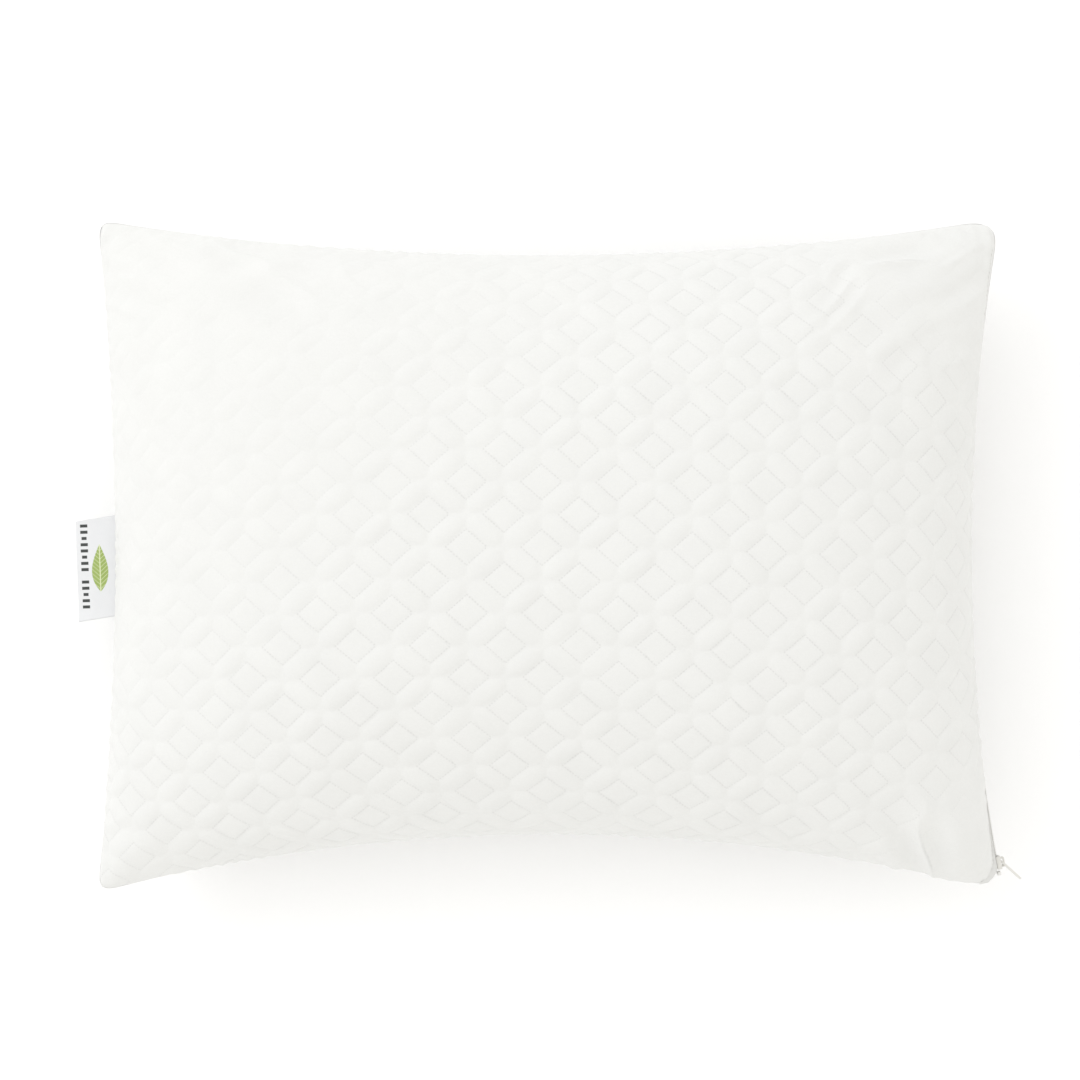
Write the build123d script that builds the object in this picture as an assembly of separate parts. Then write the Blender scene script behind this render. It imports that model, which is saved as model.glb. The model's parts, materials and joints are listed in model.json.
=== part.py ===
from build123d import *
import math
import os

# Bed pillow, lying flat. Millimetres, +Z up, +X along the long side, origin at the middle of
# the flat patch that it rests on. The zip runs along the short seam at +X, which is an arc
# about a far vertical axis, so its slider turns about that axis.

os.makedirs("parts", exist_ok=True)

# ---- the pillow -------------------------------------------------------------------------
SEAM_Z = 70.0  # height of the seam all round
TOP_RISE = 100.0  # crown of the upper panel above the seam
WALL = 4.0  # quilted knit: two cloths with thin wadding
LABEL_CORNER_X = -313.5  # the corners before rounding, on the label's side
ZIP_CORNER_X = 328.5  # the corner where the closed zip ends stands furthest out
TAIL_CORNER_X = 317.5  # the other corner on the zip's side
CORNER_Y = (-238.0, 237.0)
SEAM_BOWS = (43.0, 21.0, 26.0, 14.0)  # pull-in at the middle: front, zip side, back, label side
CORNER_RADII = (9.0, 26.0, 12.0, 9.0)  # front left, zip end, back right, back left

# Levels of the cover: rise from the seam, inset, share of the seam's bow, radius at the corners
COVER_TOP = [
    (7.0, 1.0, 0.99, 8.0),
    (14.0, 4.0, 0.97, 50.0),
    (28.0, 12.0, 0.93, 105.0),
    (43.0, 24.0, 0.86, 130.0),
    (60.0, 47.0, 0.76, 130.0),
    (73.0, 74.0, 0.65, 114.0),
    (85.0, 110.0, 0.46, 92.0),
    (94.0, 150.0, 0.22, 70.0),
    (TOP_RISE, 195.0, 0.05, 36.0),
]
COVER_BOTTOM = [
    (-6.0, 1.5, 0.99, 8.0),
    (-13.0, 5.0, 0.97, 50.0),
    (-25.0, 18.0, 0.93, 105.0),
    (-38.0, 36.0, 0.87, 130.0),
    (-50.0, 62.0, 0.78, 116.0),
    (-60.0, 102.0, 0.62, 90.0),
    (-SEAM_Z, 150.0, 0.35, 62.0),
]

# ---- the inner bag ----------------------------------------------------------------------
LINER_WALL = 1.2
LINER_X = (-268.0, 283.0)
LINER_Y = (-200.0, 200.0)
LINER_BOWS = (26.0, 6.0, 10.0, 0.0)
LINER_RADII = (30.0, 30.0, 30.0, 30.0)
LINER_TOP = [
    (6.0, -1.0, 1.0, 34.0),
    (18.0, -2.0, 0.97, 80.0),
    (30.0, 1.0, 0.93, 118.0),
    (39.5, 7.0, 0.90, 142.0),
    (55.5, 28.0, 0.80, 140.0),
    (68.0, 56.0, 0.65, 120.0),
    (79.8, 92.0, 0.50, 88.0),
    (88.6, 129.0, 0.20, 58.0),
    (92.5, 156.0, 0.05, 36.0),
]
LINER_BOTTOM = [
    (-6.0, -1.0, 1.0, 34.0),
    (-13.0, -1.0, 0.99, 85.0),
    (-21.0, 2.0, 0.97, 112.0),
    (-33.5, 22.0, 0.90, 136.0),
    (-45.0, 46.0, 0.80, 128.0),
    (-54.7, 88.0, 0.65, 88.0),
    (-64.5, 130.0, 0.30, 56.0),
]
FILL_GAP = 0.8  # air between the inner bag and the fill
FILL_SEAM_INSET = 10.0  # the fill doesn't reach into the bag's seam

# ---- zips: sizes of the cover's zip, in its own frame -------------------------------------
# The frame's x points out of the pillow, y runs along the chain, z is up, and 0 is the top
# of the coil.
TAPE_THICK = 0.6
COIL_HEIGHT = 2.0
COIL_HALF = 2.9  # half of the closed chain's width
COIL_GAP = 0.7  # half of the gap that the slider's post passes through
TAPE_EDGE = 1.0
TAPE_TURN = 6.5  # where the tape turns in with the seam allowance
TAPE_TURN_IN = 6.0
SLOT_HALF = 5.0
SLOT_IN = 9.0
SLOT_OUT = 14.0
SLOT_PAST_TAPE = 2.0
LINER_SLOT_OUT = (-6.0, 8.0)
WING_THICK = 1.2
WING_CLEAR = 0.4
BODY_LENGTH = 9.5
BODY_HALF_WIDE = 4.5  # at the throat
BODY_HALF_NARROW = 4.1
FLANGE_IN = 3.25
FLANGE_GAP = 0.7  # half of the slit that the tapes pass through
POST_HALF = 0.35
POST_Y = (-3.5, -1.0)
ARCH_LENGTH = 7.2
ARCH_HEIGHT = 3.0
ARCH_OPEN = (4.4, 1.9)
ARCH_HALF = 0.9
PIVOT_OUT = 2.6
PULL_THICK = 1.5
PULL_BAR = 0.6
PULL_ARM = (1.3, 2.3)
PULL_NECK = 4.4
PULL_LENGTH = 18.0
PULL_HALF = 2.7
PULL_HOLE = 1.1
SEAM_OUT = 2.0  # the cover's seam stands this far outside the coil's top
LINER_ZIP_SCALE = 0.8
LINER_SEAM_OUT = -0.4

# ---- where the zips run -------------------------------------------------------------------
ZIP_Y = (-228.0, 224.0)  # ends of the cover's tape
SLIDER_Y = (-216.5, 211.0)  # slider closed, slider open
TOP_STOP_Y = -224.0
BOTTOM_STOP_Y = 219.5
STOP_LENGTH = 2.6
PULL_REST = -42.0  # direction of the pull at rest, from +X
LINER_ZIP_Y = (-150.0, 150.0)
LINER_SLIDER_Y = (-138.0, 138.0)
LINER_PULL_REST = 205.0

# ---- labels -------------------------------------------------------------------------------
LABEL_SIZE = (38.0, 71.0, 0.8)
LABEL_OUT_X = -328.0  # its free end
LABEL_Y = -8.5
LABEL_SKEW = 3.0
CARE_SIZE = (34.0, 17.0, 0.5)
CARE_AT = (150.0, -193.5)


def cover_corners(inset):
    """The cover's corners before rounding, front left first, anticlockwise."""
    left = LABEL_CORNER_X + inset
    front, back = CORNER_Y[0] + inset, CORNER_Y[1] - inset
    zip_end, zip_tail = ZIP_CORNER_X - inset, TAIL_CORNER_X - inset
    return [(left, front), (zip_end, front), (zip_tail, back), (left, back)]


def liner_corners(inset):
    """The inner bag's corners, in the same order."""
    left, right = LINER_X[0] + inset, LINER_X[1] - inset
    front, back = LINER_Y[0] + inset, LINER_Y[1] - inset
    return [(left, front), (right, front), (right, back), (left, back)]


def outline(corners, bows, radii, z):
    """A face with four bowed sides and four rounded corners at height z."""
    inward = [(0, 1), (-1, 0), (0, -1), (1, 0)]
    edges = []
    for i, (bow, (nx, ny)) in enumerate(zip(bows, inward)):
        start, end = corners[i], corners[(i + 1) % 4]
        middle = ((start[0] + end[0]) / 2 + nx * bow, (start[1] + end[1]) / 2 + ny * bow)
        if bow:
            edges.append(ThreePointArc((*start, z), (*middle, z), (*end, z)))
        else:
            edges.append(Line((*start, z), (*end, z)))
    face = make_face(edges).face()
    for corner, radius in zip(corners, radii):
        vertex = face.vertices().sort_by_distance((*corner, z))[0]
        face = face.fillet_2d(radius, [vertex])
    return face


def dome(corners, bows, radii, levels, shrink=0.0, seam_inset=0.0):
    """A closed solid from the seam up or down through the levels, smaller all over by shrink."""
    full = abs(levels[-1][0])
    seam_radii = [radius + shrink + seam_inset for radius in radii]
    rings = [outline(corners(shrink + seam_inset), bows, seam_radii, SEAM_Z)]
    for i, (rise, inset, bow_share, radius) in enumerate(levels):
        z = SEAM_Z + rise * (1 - shrink / full)
        extra = shrink + (seam_inset if i == 0 else 0.0)
        level_bows = [bow * bow_share for bow in bows]
        level_radii = [max(radius, own + radius) if i == 0 else radius for own in radii]
        rings.append(outline(corners(inset + extra), level_bows, level_radii, z))
    return Solid.make_loft([ring.outer_wire() for ring in rings], ruled=True)


def zip_circle():
    """Centre and radius of the arc through the cover's seam on the zip side."""
    (x0, y0), (x1, y1) = cover_corners(0.0)[1:3]
    middle = ((x0 + x1) / 2 - SEAM_BOWS[1], (y0 + y1) / 2)
    arc = ThreePointArc((x0, y0), middle, (x1, y1))
    return arc.arc_center.X, arc.arc_center.Y, arc.radius


ARC_X, ARC_Y, SEAM_RADIUS = zip_circle()
CHAIN_RADIUS = SEAM_RADIUS + SEAM_OUT  # to the top of the coil


def arc_angle(y):
    """Turn about the arc's axis, in degrees, that brings the zip's frame to height y."""
    return math.degrees(math.asin((ARC_Y - y) / CHAIN_RADIUS))


def on_arc(y):
    """The place of the zip's own frame where the chain passes y."""
    return Pos(ARC_X, ARC_Y, SEAM_Z) * Rot(0, 0, arc_angle(y)) * Pos(-CHAIN_RADIUS, 0, 0)


def along_arc(out, up, y_range):
    """A bar of rectangular section that follows the zip's arc between two heights y."""
    start, end = arc_angle(y_range[1]), arc_angle(y_range[0])
    section = Plane.XZ * Pos(sum(out) / 2 - CHAIN_RADIUS, sum(up) / 2) * Rectangle(
        out[1] - out[0], up[1] - up[0]
    )
    bar = revolve(section, axis=Axis.Z, revolution_arc=end - start)
    return Pos(ARC_X, ARC_Y, SEAM_Z) * Rot(0, 0, start) * bar


def along_line(out, up, y_range):
    """The same bar along the inner bag's straight zip, whose frame points to -X."""
    place = Pos(LINER_X[0] - LINER_SEAM_OUT, 0, SEAM_Z) * Rot(0, 0, 180)
    size = (out[1] - out[0], y_range[1] - y_range[0], up[1] - up[0])
    middle = (sum(out) / 2, -sum(y_range) / 2, sum(up) / 2)
    return place * Pos(*middle) * Box(*size)


def mirrored(span, side):
    """A span of heights on one side of the chain: side is 1 above and -1 below."""
    return tuple(sorted(side * value for value in span))


def tape(bar, side, y_range, scale=1.0):
    """A tape: flat beside the coil, then turned in with the seam allowance."""
    back, face = -(COIL_HEIGHT + TAPE_THICK) * scale, -COIL_HEIGHT * scale
    flat = bar((back, face), mirrored((TAPE_EDGE * scale, TAPE_TURN * scale), side), y_range)
    turn_z = ((TAPE_TURN - TAPE_THICK) * scale, TAPE_TURN * scale)
    turn = bar((back - TAPE_TURN_IN * scale, back), mirrored(turn_z, side), y_range)
    return flat + turn


def coil(bar, side, y_range, scale=1.0):
    """The coil on one tape, as a plain bar of the coil's outer shape."""
    up = mirrored((COIL_GAP * scale, COIL_HALF * scale), side)
    return bar((-COIL_HEIGHT * scale, 0.0), up, y_range)


def stop(bar, sides, y, scale=1.0):
    """Stops clamped on the chain's end, one on each given side."""
    half = STOP_LENGTH * scale / 2
    parts = []
    for side in sides:
        up = mirrored((COIL_GAP * scale, (COIL_HALF + 0.2) * scale), side)
        parts.append(bar((-COIL_HEIGHT * scale, 0.3 * scale), up, (y - half, y + half)))
    return parts


def bridge_stop(bar, y, scale=1.0):
    """The bottom stop: one clamp across both coils."""
    half = STOP_LENGTH * scale / 2
    width = (COIL_HALF + 0.2) * scale
    return bar((-COIL_HEIGHT * scale, 0.3 * scale), (-width, width), (y - half, y + half))


def wing_plan():
    """Outline of a slider's wing, wide at the throat, in the frame's y and z."""
    half = BODY_LENGTH / 2
    points = [
        (-half, BODY_HALF_WIDE),
        (half, BODY_HALF_NARROW),
        (half, -BODY_HALF_NARROW),
        (-half, -BODY_HALF_WIDE),
    ]
    plan = make_face(Polyline(*points, close=True)).face()
    return plan.fillet_2d(1.4, plan.vertices())


def wing(inner, outer):
    """A slab of the wing's outline between two distances from the coil's top."""
    slab = extrude(Plane.YZ * wing_plan(), amount=outer - inner)
    return Pos(inner, 0, 0) * slab


def slider_body():
    """Two wings joined by a post, with flanges that leave a slit for the tapes."""
    front_in = WING_CLEAR
    back_out = -COIL_HEIGHT - TAPE_THICK - 0.5
    tape_mid = -COIL_HEIGHT - TAPE_THICK / 2
    front = wing(front_in, front_in + WING_THICK)
    back = wing(back_out - WING_THICK, back_out)
    front_flange = wing(tape_mid + FLANGE_GAP, front_in)
    back_flange = wing(back_out, tape_mid - FLANGE_GAP + 0.1)
    core = Box(4 * BODY_LENGTH, 2 * BODY_LENGTH, 2 * FLANGE_IN)
    post_size = (front_in - back_out, POST_Y[1] - POST_Y[0], 2 * POST_HALF)
    post = Pos((front_in + back_out) / 2, sum(POST_Y) / 2, 0) * Box(*post_size)
    return front + back + (front_flange - core) + (back_flange - core) + post


def lock_cap():
    """The arch on the slider that holds the pull and its lock spring."""
    base = WING_CLEAR + WING_THICK
    side = Pos(base + ARCH_HEIGHT / 2, 0, 0) * Box(ARCH_HEIGHT, ARCH_LENGTH, 2 * ARCH_HALF)
    rounded = fillet(side.edges().filter_by(Axis.Z).group_by(Axis.X)[-1], 1.2)
    hollow = Pos(base + ARCH_OPEN[1] / 2, 0, 0) * Box(ARCH_OPEN[1], ARCH_OPEN[0], 4 * ARCH_HALF)
    return rounded - hollow


def pull_tab():
    """The pull, pointing out along x from its pivot bar at the origin."""
    body_length = PULL_LENGTH - PULL_NECK
    middle = PULL_NECK + body_length / 2
    plan = Pos(middle, 0) * RectangleRounded(body_length, 2 * PULL_HALF, 2.2)
    plan -= Pos(PULL_LENGTH - 3.2, 0) * Circle(PULL_HOLE)
    tab = Rot(90, 0, 0) * extrude(plan, amount=PULL_THICK / 2, both=True)
    for side in (1, -1):
        arm_z = side * sum(PULL_ARM) / 2
        arm_length = PULL_NECK + 1.5
        arm_size = (arm_length, PULL_THICK, PULL_ARM[1] - PULL_ARM[0])
        tab += Pos(arm_length / 2, 0, arm_z) * Box(*arm_size)
        tab += Pos(0, 0, arm_z) * Cylinder(PULL_THICK / 2, PULL_ARM[1] - PULL_ARM[0])
    tab += Cylinder(PULL_BAR, 2 * PULL_ARM[1])
    return tab


def write(node, *solids):
    """One file for each node. Several solids are written as a group."""
    parts = [solid for shape in solids for solid in shape.solids()]
    shape = parts[0] if len(parts) == 1 else Compound(children=parts)
    export_step(shape, f"parts/{node}.step")


def cover_shell(levels):
    """A cover panel with its wall thickness, before the zip and labels are let in."""
    outer = dome(cover_corners, SEAM_BOWS, CORNER_RADII, levels)
    inner = dome(cover_corners, SEAM_BOWS, CORNER_RADII, levels, WALL, seam_inset=4.0)
    return outer - inner


def liner_shell(levels):
    outer = dome(liner_corners, LINER_BOWS, LINER_RADII, levels)
    inner = dome(liner_corners, LINER_BOWS, LINER_RADII, levels, LINER_WALL, seam_inset=1.0)
    return outer - inner


def build_zip_chain():
    """Tapes, coils and stops of the cover's zip."""
    chain = {}
    coil_y = (TOP_STOP_Y + STOP_LENGTH / 2, BOTTOM_STOP_Y - STOP_LENGTH / 2)
    for name, side in (("upper", 1), ("lower", -1)):
        chain[f"zip_tape_{name}"] = [tape(along_arc, side, ZIP_Y)]
        chain[f"zip_coil_{name}"] = [coil(along_arc, side, coil_y)]
    chain["zip_top_stops"] = stop(along_arc, (1, -1), TOP_STOP_Y)
    chain["zip_bottom_stop"] = [bridge_stop(along_arc, BOTTOM_STOP_Y)]
    return chain


def build_zip_slider():
    """Slider, its arch and its pull, closed at the front corner."""
    place = on_arc(SLIDER_Y[0])
    turn = PULL_REST - arc_angle(SLIDER_Y[0])
    return {
        "zip_slider_body": [place * slider_body()],
        "zip_lock_cap": [place * lock_cap()],
        "zip_pull_tab": [place * Pos(PIVOT_OUT, 0, 0) * Rot(0, 0, turn) * pull_tab()],
    }


def build_liner_zip():
    """The inner bag's zip: the same parts, smaller and straight."""
    k = LINER_ZIP_SCALE
    half = STOP_LENGTH * k / 2
    top_y, bottom_y = LINER_SLIDER_Y[0] - 6.5, LINER_SLIDER_Y[1] + 6.5
    coil_y = (top_y + half, bottom_y - half)
    place = Pos(LINER_X[0] - LINER_SEAM_OUT, LINER_SLIDER_Y[0], SEAM_Z)
    facing = place * Rot(180, 0, 180)
    pull_place = place * Pos(-PIVOT_OUT * k, 0, 0) * Rot(0, 0, LINER_PULL_REST)
    parts = {}
    for name, side in (("upper", 1), ("lower", -1)):
        parts[f"liner_zip_tape_{name}"] = [tape(along_line, side, LINER_ZIP_Y, k)]
        parts[f"liner_zip_coil_{name}"] = [coil(along_line, side, coil_y, k)]
    stops = stop(along_line, (1, -1), top_y, k)
    parts["liner_zip_stops"] = stops + [bridge_stop(along_line, bottom_y, k)]
    parts["liner_zip_slider"] = [facing * scale(slider_body(), k)]
    parts["liner_zip_lock_cap"] = [facing * scale(lock_cap(), k)]
    parts["liner_zip_pull"] = [pull_place * scale(pull_tab(), k)]
    return parts


def build_labels():
    """The folded label in the short seam and the care label inside the front seam."""
    out = Pos(LABEL_OUT_X + LABEL_SIZE[0] / 2, LABEL_Y, SEAM_Z) * Rot(0, 0, LABEL_SKEW)
    care = Pos(*CARE_AT, SEAM_Z)
    return {"side_label": [out * Box(*LABEL_SIZE)], "care_label": [care * Box(*CARE_SIZE)]}


def build_cover(chain, labels):
    """The two cover panels, with the zip's slot, its tapes and the labels let into them."""
    slot_y = (ZIP_Y[0] - SLOT_PAST_TAPE, ZIP_Y[1])
    slot = along_arc((-SLOT_IN, SLOT_OUT), (-SLOT_HALF, SLOT_HALF), slot_y)
    sewn_in = [slot, *chain["zip_tape_upper"], *chain["zip_tape_lower"]]
    sewn_in += [*labels["side_label"], *labels["care_label"]]
    panels = {}
    for name, levels in (("cover_top_panel", COVER_TOP), ("cover_bottom_panel", COVER_BOTTOM)):
        panel = cover_shell(levels)
        for shape in sewn_in:
            panel -= shape
        panels[name] = [panel]
    return panels


def build_liner(liner_zip):
    """The inner bag's two panels, with its zip let in."""
    half = SLOT_HALF * LINER_ZIP_SCALE
    slot = along_line(LINER_SLOT_OUT, (-half, half), LINER_ZIP_Y)
    panels = {}
    for name, levels in (("liner_top_panel", LINER_TOP), ("liner_bottom_panel", LINER_BOTTOM)):
        panel = liner_shell(levels) - slot
        for tape_name in ("liner_zip_tape_upper", "liner_zip_tape_lower"):
            panel -= liner_zip[tape_name][0]
        panels[name] = [panel]
    return panels


def build_fill():
    """The shredded foam as one soft body."""
    shrink = LINER_WALL + FILL_GAP
    halves = [
        dome(liner_corners, LINER_BOWS, LINER_RADII, levels, shrink, FILL_SEAM_INSET)
        for levels in (LINER_TOP, LINER_BOTTOM)
    ]
    return {"foam_fill": [halves[0] + halves[1]]}


def main():
    chain = build_zip_chain()
    labels = build_labels()
    liner_zip = build_liner_zip()
    groups = [
        build_cover(chain, labels),
        chain,
        build_zip_slider(),
        labels,
        build_liner(liner_zip),
        liner_zip,
        build_fill(),
    ]
    for group in groups:
        for node, solids in group.items():
            write(node, *solids)
    travel = arc_angle(SLIDER_Y[0]) - arc_angle(SLIDER_Y[1])
    pivot = on_arc(SLIDER_Y[0]) * Pos(PIVOT_OUT, 0, 0)
    print("zip arc centre", ARC_X, ARC_Y, "radius", CHAIN_RADIUS, "travel", travel)
    print("pull pivot", pivot.position, "turn of the slider", arc_angle(SLIDER_Y[0]))


main()
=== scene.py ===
import json
import math

import bmesh
import bpy
import numpy as np
from bpy.props import FloatProperty, FloatVectorProperty, IntProperty, PointerProperty
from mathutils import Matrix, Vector
from mathutils.bvhtree import BVHTree


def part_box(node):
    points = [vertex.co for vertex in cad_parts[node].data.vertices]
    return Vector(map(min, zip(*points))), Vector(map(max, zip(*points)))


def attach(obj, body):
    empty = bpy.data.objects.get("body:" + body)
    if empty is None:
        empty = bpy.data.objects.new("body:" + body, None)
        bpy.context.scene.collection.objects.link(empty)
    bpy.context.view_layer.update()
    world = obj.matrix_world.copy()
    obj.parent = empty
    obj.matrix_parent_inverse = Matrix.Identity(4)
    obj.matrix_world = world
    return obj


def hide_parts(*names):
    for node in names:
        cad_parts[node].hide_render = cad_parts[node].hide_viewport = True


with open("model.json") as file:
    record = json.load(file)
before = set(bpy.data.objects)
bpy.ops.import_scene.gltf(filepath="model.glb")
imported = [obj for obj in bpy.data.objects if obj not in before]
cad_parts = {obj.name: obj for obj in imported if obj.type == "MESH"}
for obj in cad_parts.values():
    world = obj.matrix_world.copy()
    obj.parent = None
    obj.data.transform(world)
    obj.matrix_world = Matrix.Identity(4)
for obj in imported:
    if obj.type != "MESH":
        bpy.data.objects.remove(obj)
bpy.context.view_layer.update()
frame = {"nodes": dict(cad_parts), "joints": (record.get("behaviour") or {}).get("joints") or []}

bl_info = {
    "name": "Bed Pillow Maker",
    "version": (1, 0, 0),
    "blender": (4, 5, 0),
    "location": "View3D > Sidebar > Pillow",
    "description": "Sews, fills and quilts a zipped bed pillow around its CAD frame",
    "category": "Object",
}

MM = 0.001
COVER_LOW, COVER_HIGH = (Vector(corner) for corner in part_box("cover_top_panel"))
SEAM_Z = COVER_LOW.z
CROWN = COVER_HIGH.z - SEAM_Z
LINER_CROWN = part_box("liner_top_panel")[1][2] - SEAM_Z
LINER_DEPTH = SEAM_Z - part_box("liner_bottom_panel")[0][2]
ZIP_AXIS = next(joint for joint in frame["joints"] if joint["name"] == "zip_travel")["pos_m"]

# The cover's seam: corners before rounding, the pull-in of each side, and how far each corner
# is rounded. Front left first, then anticlockwise; sides are front, zip, back and label.
COVER_CORNERS = ((-313.5, -238.0), (328.5, -238.0), (317.5, 237.0), (-313.5, 237.0))
COVER_BOWS = (43.0, 21.0, 26.0, 14.0)
COVER_ROUNDING = (4, 22, 5, 4)  # passes of smoothing along the seam
LINER_CORNERS = ((-268.0, -200.0), (283.0, -200.0), (283.0, 200.0), (-268.0, 200.0))
LINER_BOWS = (26.0, 6.0, 10.0, 0.0)
LINER_ROUNDING = (8, 8, 8, 8)
INWARD = ((0.0, 1.0), (-1.0, 0.0), (0.0, -1.0), (1.0, 0.0))
LINER_SEWN = (0.585, 0.425)
COVER_DEPTH = 68 * MM  # rough start of the simulation below the seam

# Cloth: steps of the simulated grid, how much finer the finished one is, and the filling.
COVER_CELL, LINER_CELL = 6.1 * MM, 9.4 * MM
COVER_FINE, LINER_FINE = 4, 3
COVER_PRESSURE, LINER_PRESSURE = 6.0, 5.0
SIM_FRAMES = 20
LIP_HALF = 5.0 * MM  # half the opening between the lips beside a zip
SEAM_TURN_IN = 0.4 * MM
LINER_WALL = 0.9 * MM
LINER_GAP = 3.2 * MM  # between the inner bag and the cover's inner face

# Quilting: half side of a patch, in repeats measured across the rolls; half length and half
# width of a roll; half width of the small knot where rolls meet.
PATCH_HALF = 0.275
ROLL_HALF = (0.42, 0.215)
KNOT_HALF = 0.17
STITCHES_PER_REPEAT = 14

# Where the filled cover is slack: centre, spread, direction of the creases in degrees, their
# width, their height, and how far they flatten the quilting.
CRUMPLES = (
    ((-218.0, 194.0), (76.0, 40.0), -25.0, 15.0, 2.8, 0.85),
    ((255.0, 184.0), (60.0, 52.0), 30.0, 14.0, 2.9, 0.85),
    ((286.0, -196.0), (50.0, 40.0), 118.0, 16.0, 5.2, 0.95),
    ((-285.0, -205.0), (34.0, 26.0), 40.0, 15.0, 1.5, 0.3),
)

# Side label: width when folded and length along the seam, the turn of the whole label in
# degrees, and how far its ends rise towards the seam.
LABEL_SIZE = (38.0 * MM, 71.0 * MM)
LABEL_SKEW = 1.8
LABEL_SLOPE = 0.13

# The tape's section beside the coil in millimetres, outwards and up from the chain's middle.
TAPE_SECTION = ((-2.0, 1.1), (-2.0, 5.4), (-2.15, 6.1), (-2.7, 6.5), (-8.5, 6.5),
                (-8.5, 5.95), (-3.1, 5.95), (-2.6, 5.5), (-2.6, 1.1))

# The stage's light and the middle of the camera's view.
KEY_PLACE, KEY_TARGET, KEY_SIZE = (-1.7, 1.35, 1.8), (0, 0, 0.05), (1.5, 1.2)
VIEW_CENTRE = (-0.001, 0.011)
WHITE = (1.0, 1.0, 1.0, 1.0)

INNER_SKINS = {}  # inner faces of the panels made so far, for what goes inside them


# ---- properties -----------------------------------------------------------------------------
class PillowCoverProperties(bpy.types.PropertyGroup):
    sewn_length: FloatProperty(
        name="Sewn length", description="Cover between its short seams, laid flat",
        default=0.640, min=0.3, max=1.2, unit="LENGTH")
    sewn_width: FloatProperty(
        name="Sewn width", description="Cover between its long seams, laid flat",
        default=0.486, min=0.3, max=1.0, unit="LENGTH")
    repeat_long: FloatProperty(
        name="Quilt repeat, long", description="Quilting repeat along the pillow",
        default=0.0475, min=0.01, max=0.2, unit="LENGTH")
    repeat_across: FloatProperty(
        name="Quilt repeat, across", description="Quilting repeat across the pillow",
        default=0.0430, min=0.01, max=0.2, unit="LENGTH")
    roll_height: FloatProperty(
        name="Roll height", description="Height of the padded rolls between the patches",
        default=0.0016, min=0.0, max=0.01, unit="LENGTH")
    patch_height: FloatProperty(
        name="Patch height", description="Height of the stitched square patches",
        default=0.0008, min=0.0, max=0.01, unit="LENGTH")
    thickness: FloatProperty(
        name="Thickness", description="Thickness of the quilted cloth",
        default=0.0040, min=0.001, max=0.01, unit="LENGTH")
    colour: FloatVectorProperty(
        name="Knit colour", description="Colour of the quilted knit", subtype="COLOR",
        size=3, default=(0.765, 0.768, 0.753), min=0.0, max=1.0)


class PillowZipProperties(bpy.types.PropertyGroup):
    tooth_pitch: FloatProperty(
        name="Tooth pitch", description="Distance between teeth on one tape",
        default=0.0015, min=0.0005, max=0.005, unit="LENGTH")
    wire: FloatProperty(
        name="Coil wire", description="Diameter of the coil's wire",
        default=0.0006, min=0.0002, max=0.002, unit="LENGTH")
    stitch_pitch: FloatProperty(
        name="Stitch pitch", description="Length of one stitch beside the zip",
        default=0.0032, min=0.001, max=0.01, unit="LENGTH")
    enamel: FloatVectorProperty(
        name="Enamel colour", description="Colour of the slider and pull", subtype="COLOR",
        size=3, default=(0.72, 0.71, 0.67), min=0.0, max=1.0)


class PillowLabelProperties(bpy.types.PropertyGroup):
    print_dark: FloatVectorProperty(
        name="Dark print", description="Colour of the printed bars", subtype="COLOR",
        size=3, default=(0.035, 0.04, 0.038), min=0.0, max=1.0)
    print_leaf: FloatVectorProperty(
        name="Leaf print", description="Colour of the printed leaf", subtype="COLOR",
        size=3, default=(0.30, 0.40, 0.10), min=0.0, max=1.0)
    droop: FloatProperty(
        name="Droop", description="How far the label's free end hangs below the seam",
        default=0.003, min=0.0, max=0.02, unit="LENGTH")


class PillowFillProperties(bpy.types.PropertyGroup):
    spacing: FloatProperty(
        name="Shred spacing", description="Distance between neighbouring shreds of foam",
        default=0.029, min=0.01, max=0.1, unit="LENGTH")
    seed: IntProperty(
        name="Seed", description="Seed for the shreds' places and shapes", default=7, min=0)


class PillowStageProperties(bpy.types.PropertyGroup):
    camera_height: FloatProperty(
        name="Camera height", description="Height of the camera above the seam",
        default=1.80, min=0.5, max=5.0, unit="LENGTH")
    key_power: FloatProperty(
        name="Key power", description="Power of the soft key light",
        default=12.5, min=0.0, max=500.0, unit="POWER")
    sky: FloatProperty(
        name="Sky strength", description="Strength of the even light from all round",
        default=1.115, min=0.0, max=5.0)


# ---- small helpers --------------------------------------------------------------------------
def node_points(node):
    """All vertices of a CAD node at rest, one row each."""
    mesh = frame["nodes"][node].data
    points = np.empty(len(mesh.vertices) * 3)
    mesh.vertices.foreach_get("co", points)
    return points.reshape(-1, 3)


def deselect_all():
    bpy.ops.object.select_all(action="DESELECT")


def activate(obj):
    deselect_all()
    obj.select_set(True)
    bpy.context.view_layer.objects.active = obj


def new_mesh_object(name, points, faces, turn_outward=True):
    """A smooth-shaded object from rows of points and a list of faces."""
    mesh = bpy.data.meshes.new(name)
    mesh.from_pydata(np.asarray(points).tolist(), [], faces)
    if turn_outward:
        work = bmesh.new()
        work.from_mesh(mesh)
        bmesh.ops.recalc_face_normals(work, faces=work.faces)
        work.to_mesh(mesh)
        work.free()
    mesh.polygons.foreach_set("use_smooth", np.ones(len(mesh.polygons), bool))
    mesh.update()
    obj = bpy.data.objects.new(name, mesh)
    bpy.context.collection.objects.link(obj)
    return obj


def set_material(obj, material):
    obj.data.materials.clear()
    obj.data.materials.append(material)


def smoothstep(low, high, value):
    t = np.clip((value - low) / (high - low), 0.0, 1.0)
    return t * t * (3 - 2 * t)


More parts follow.
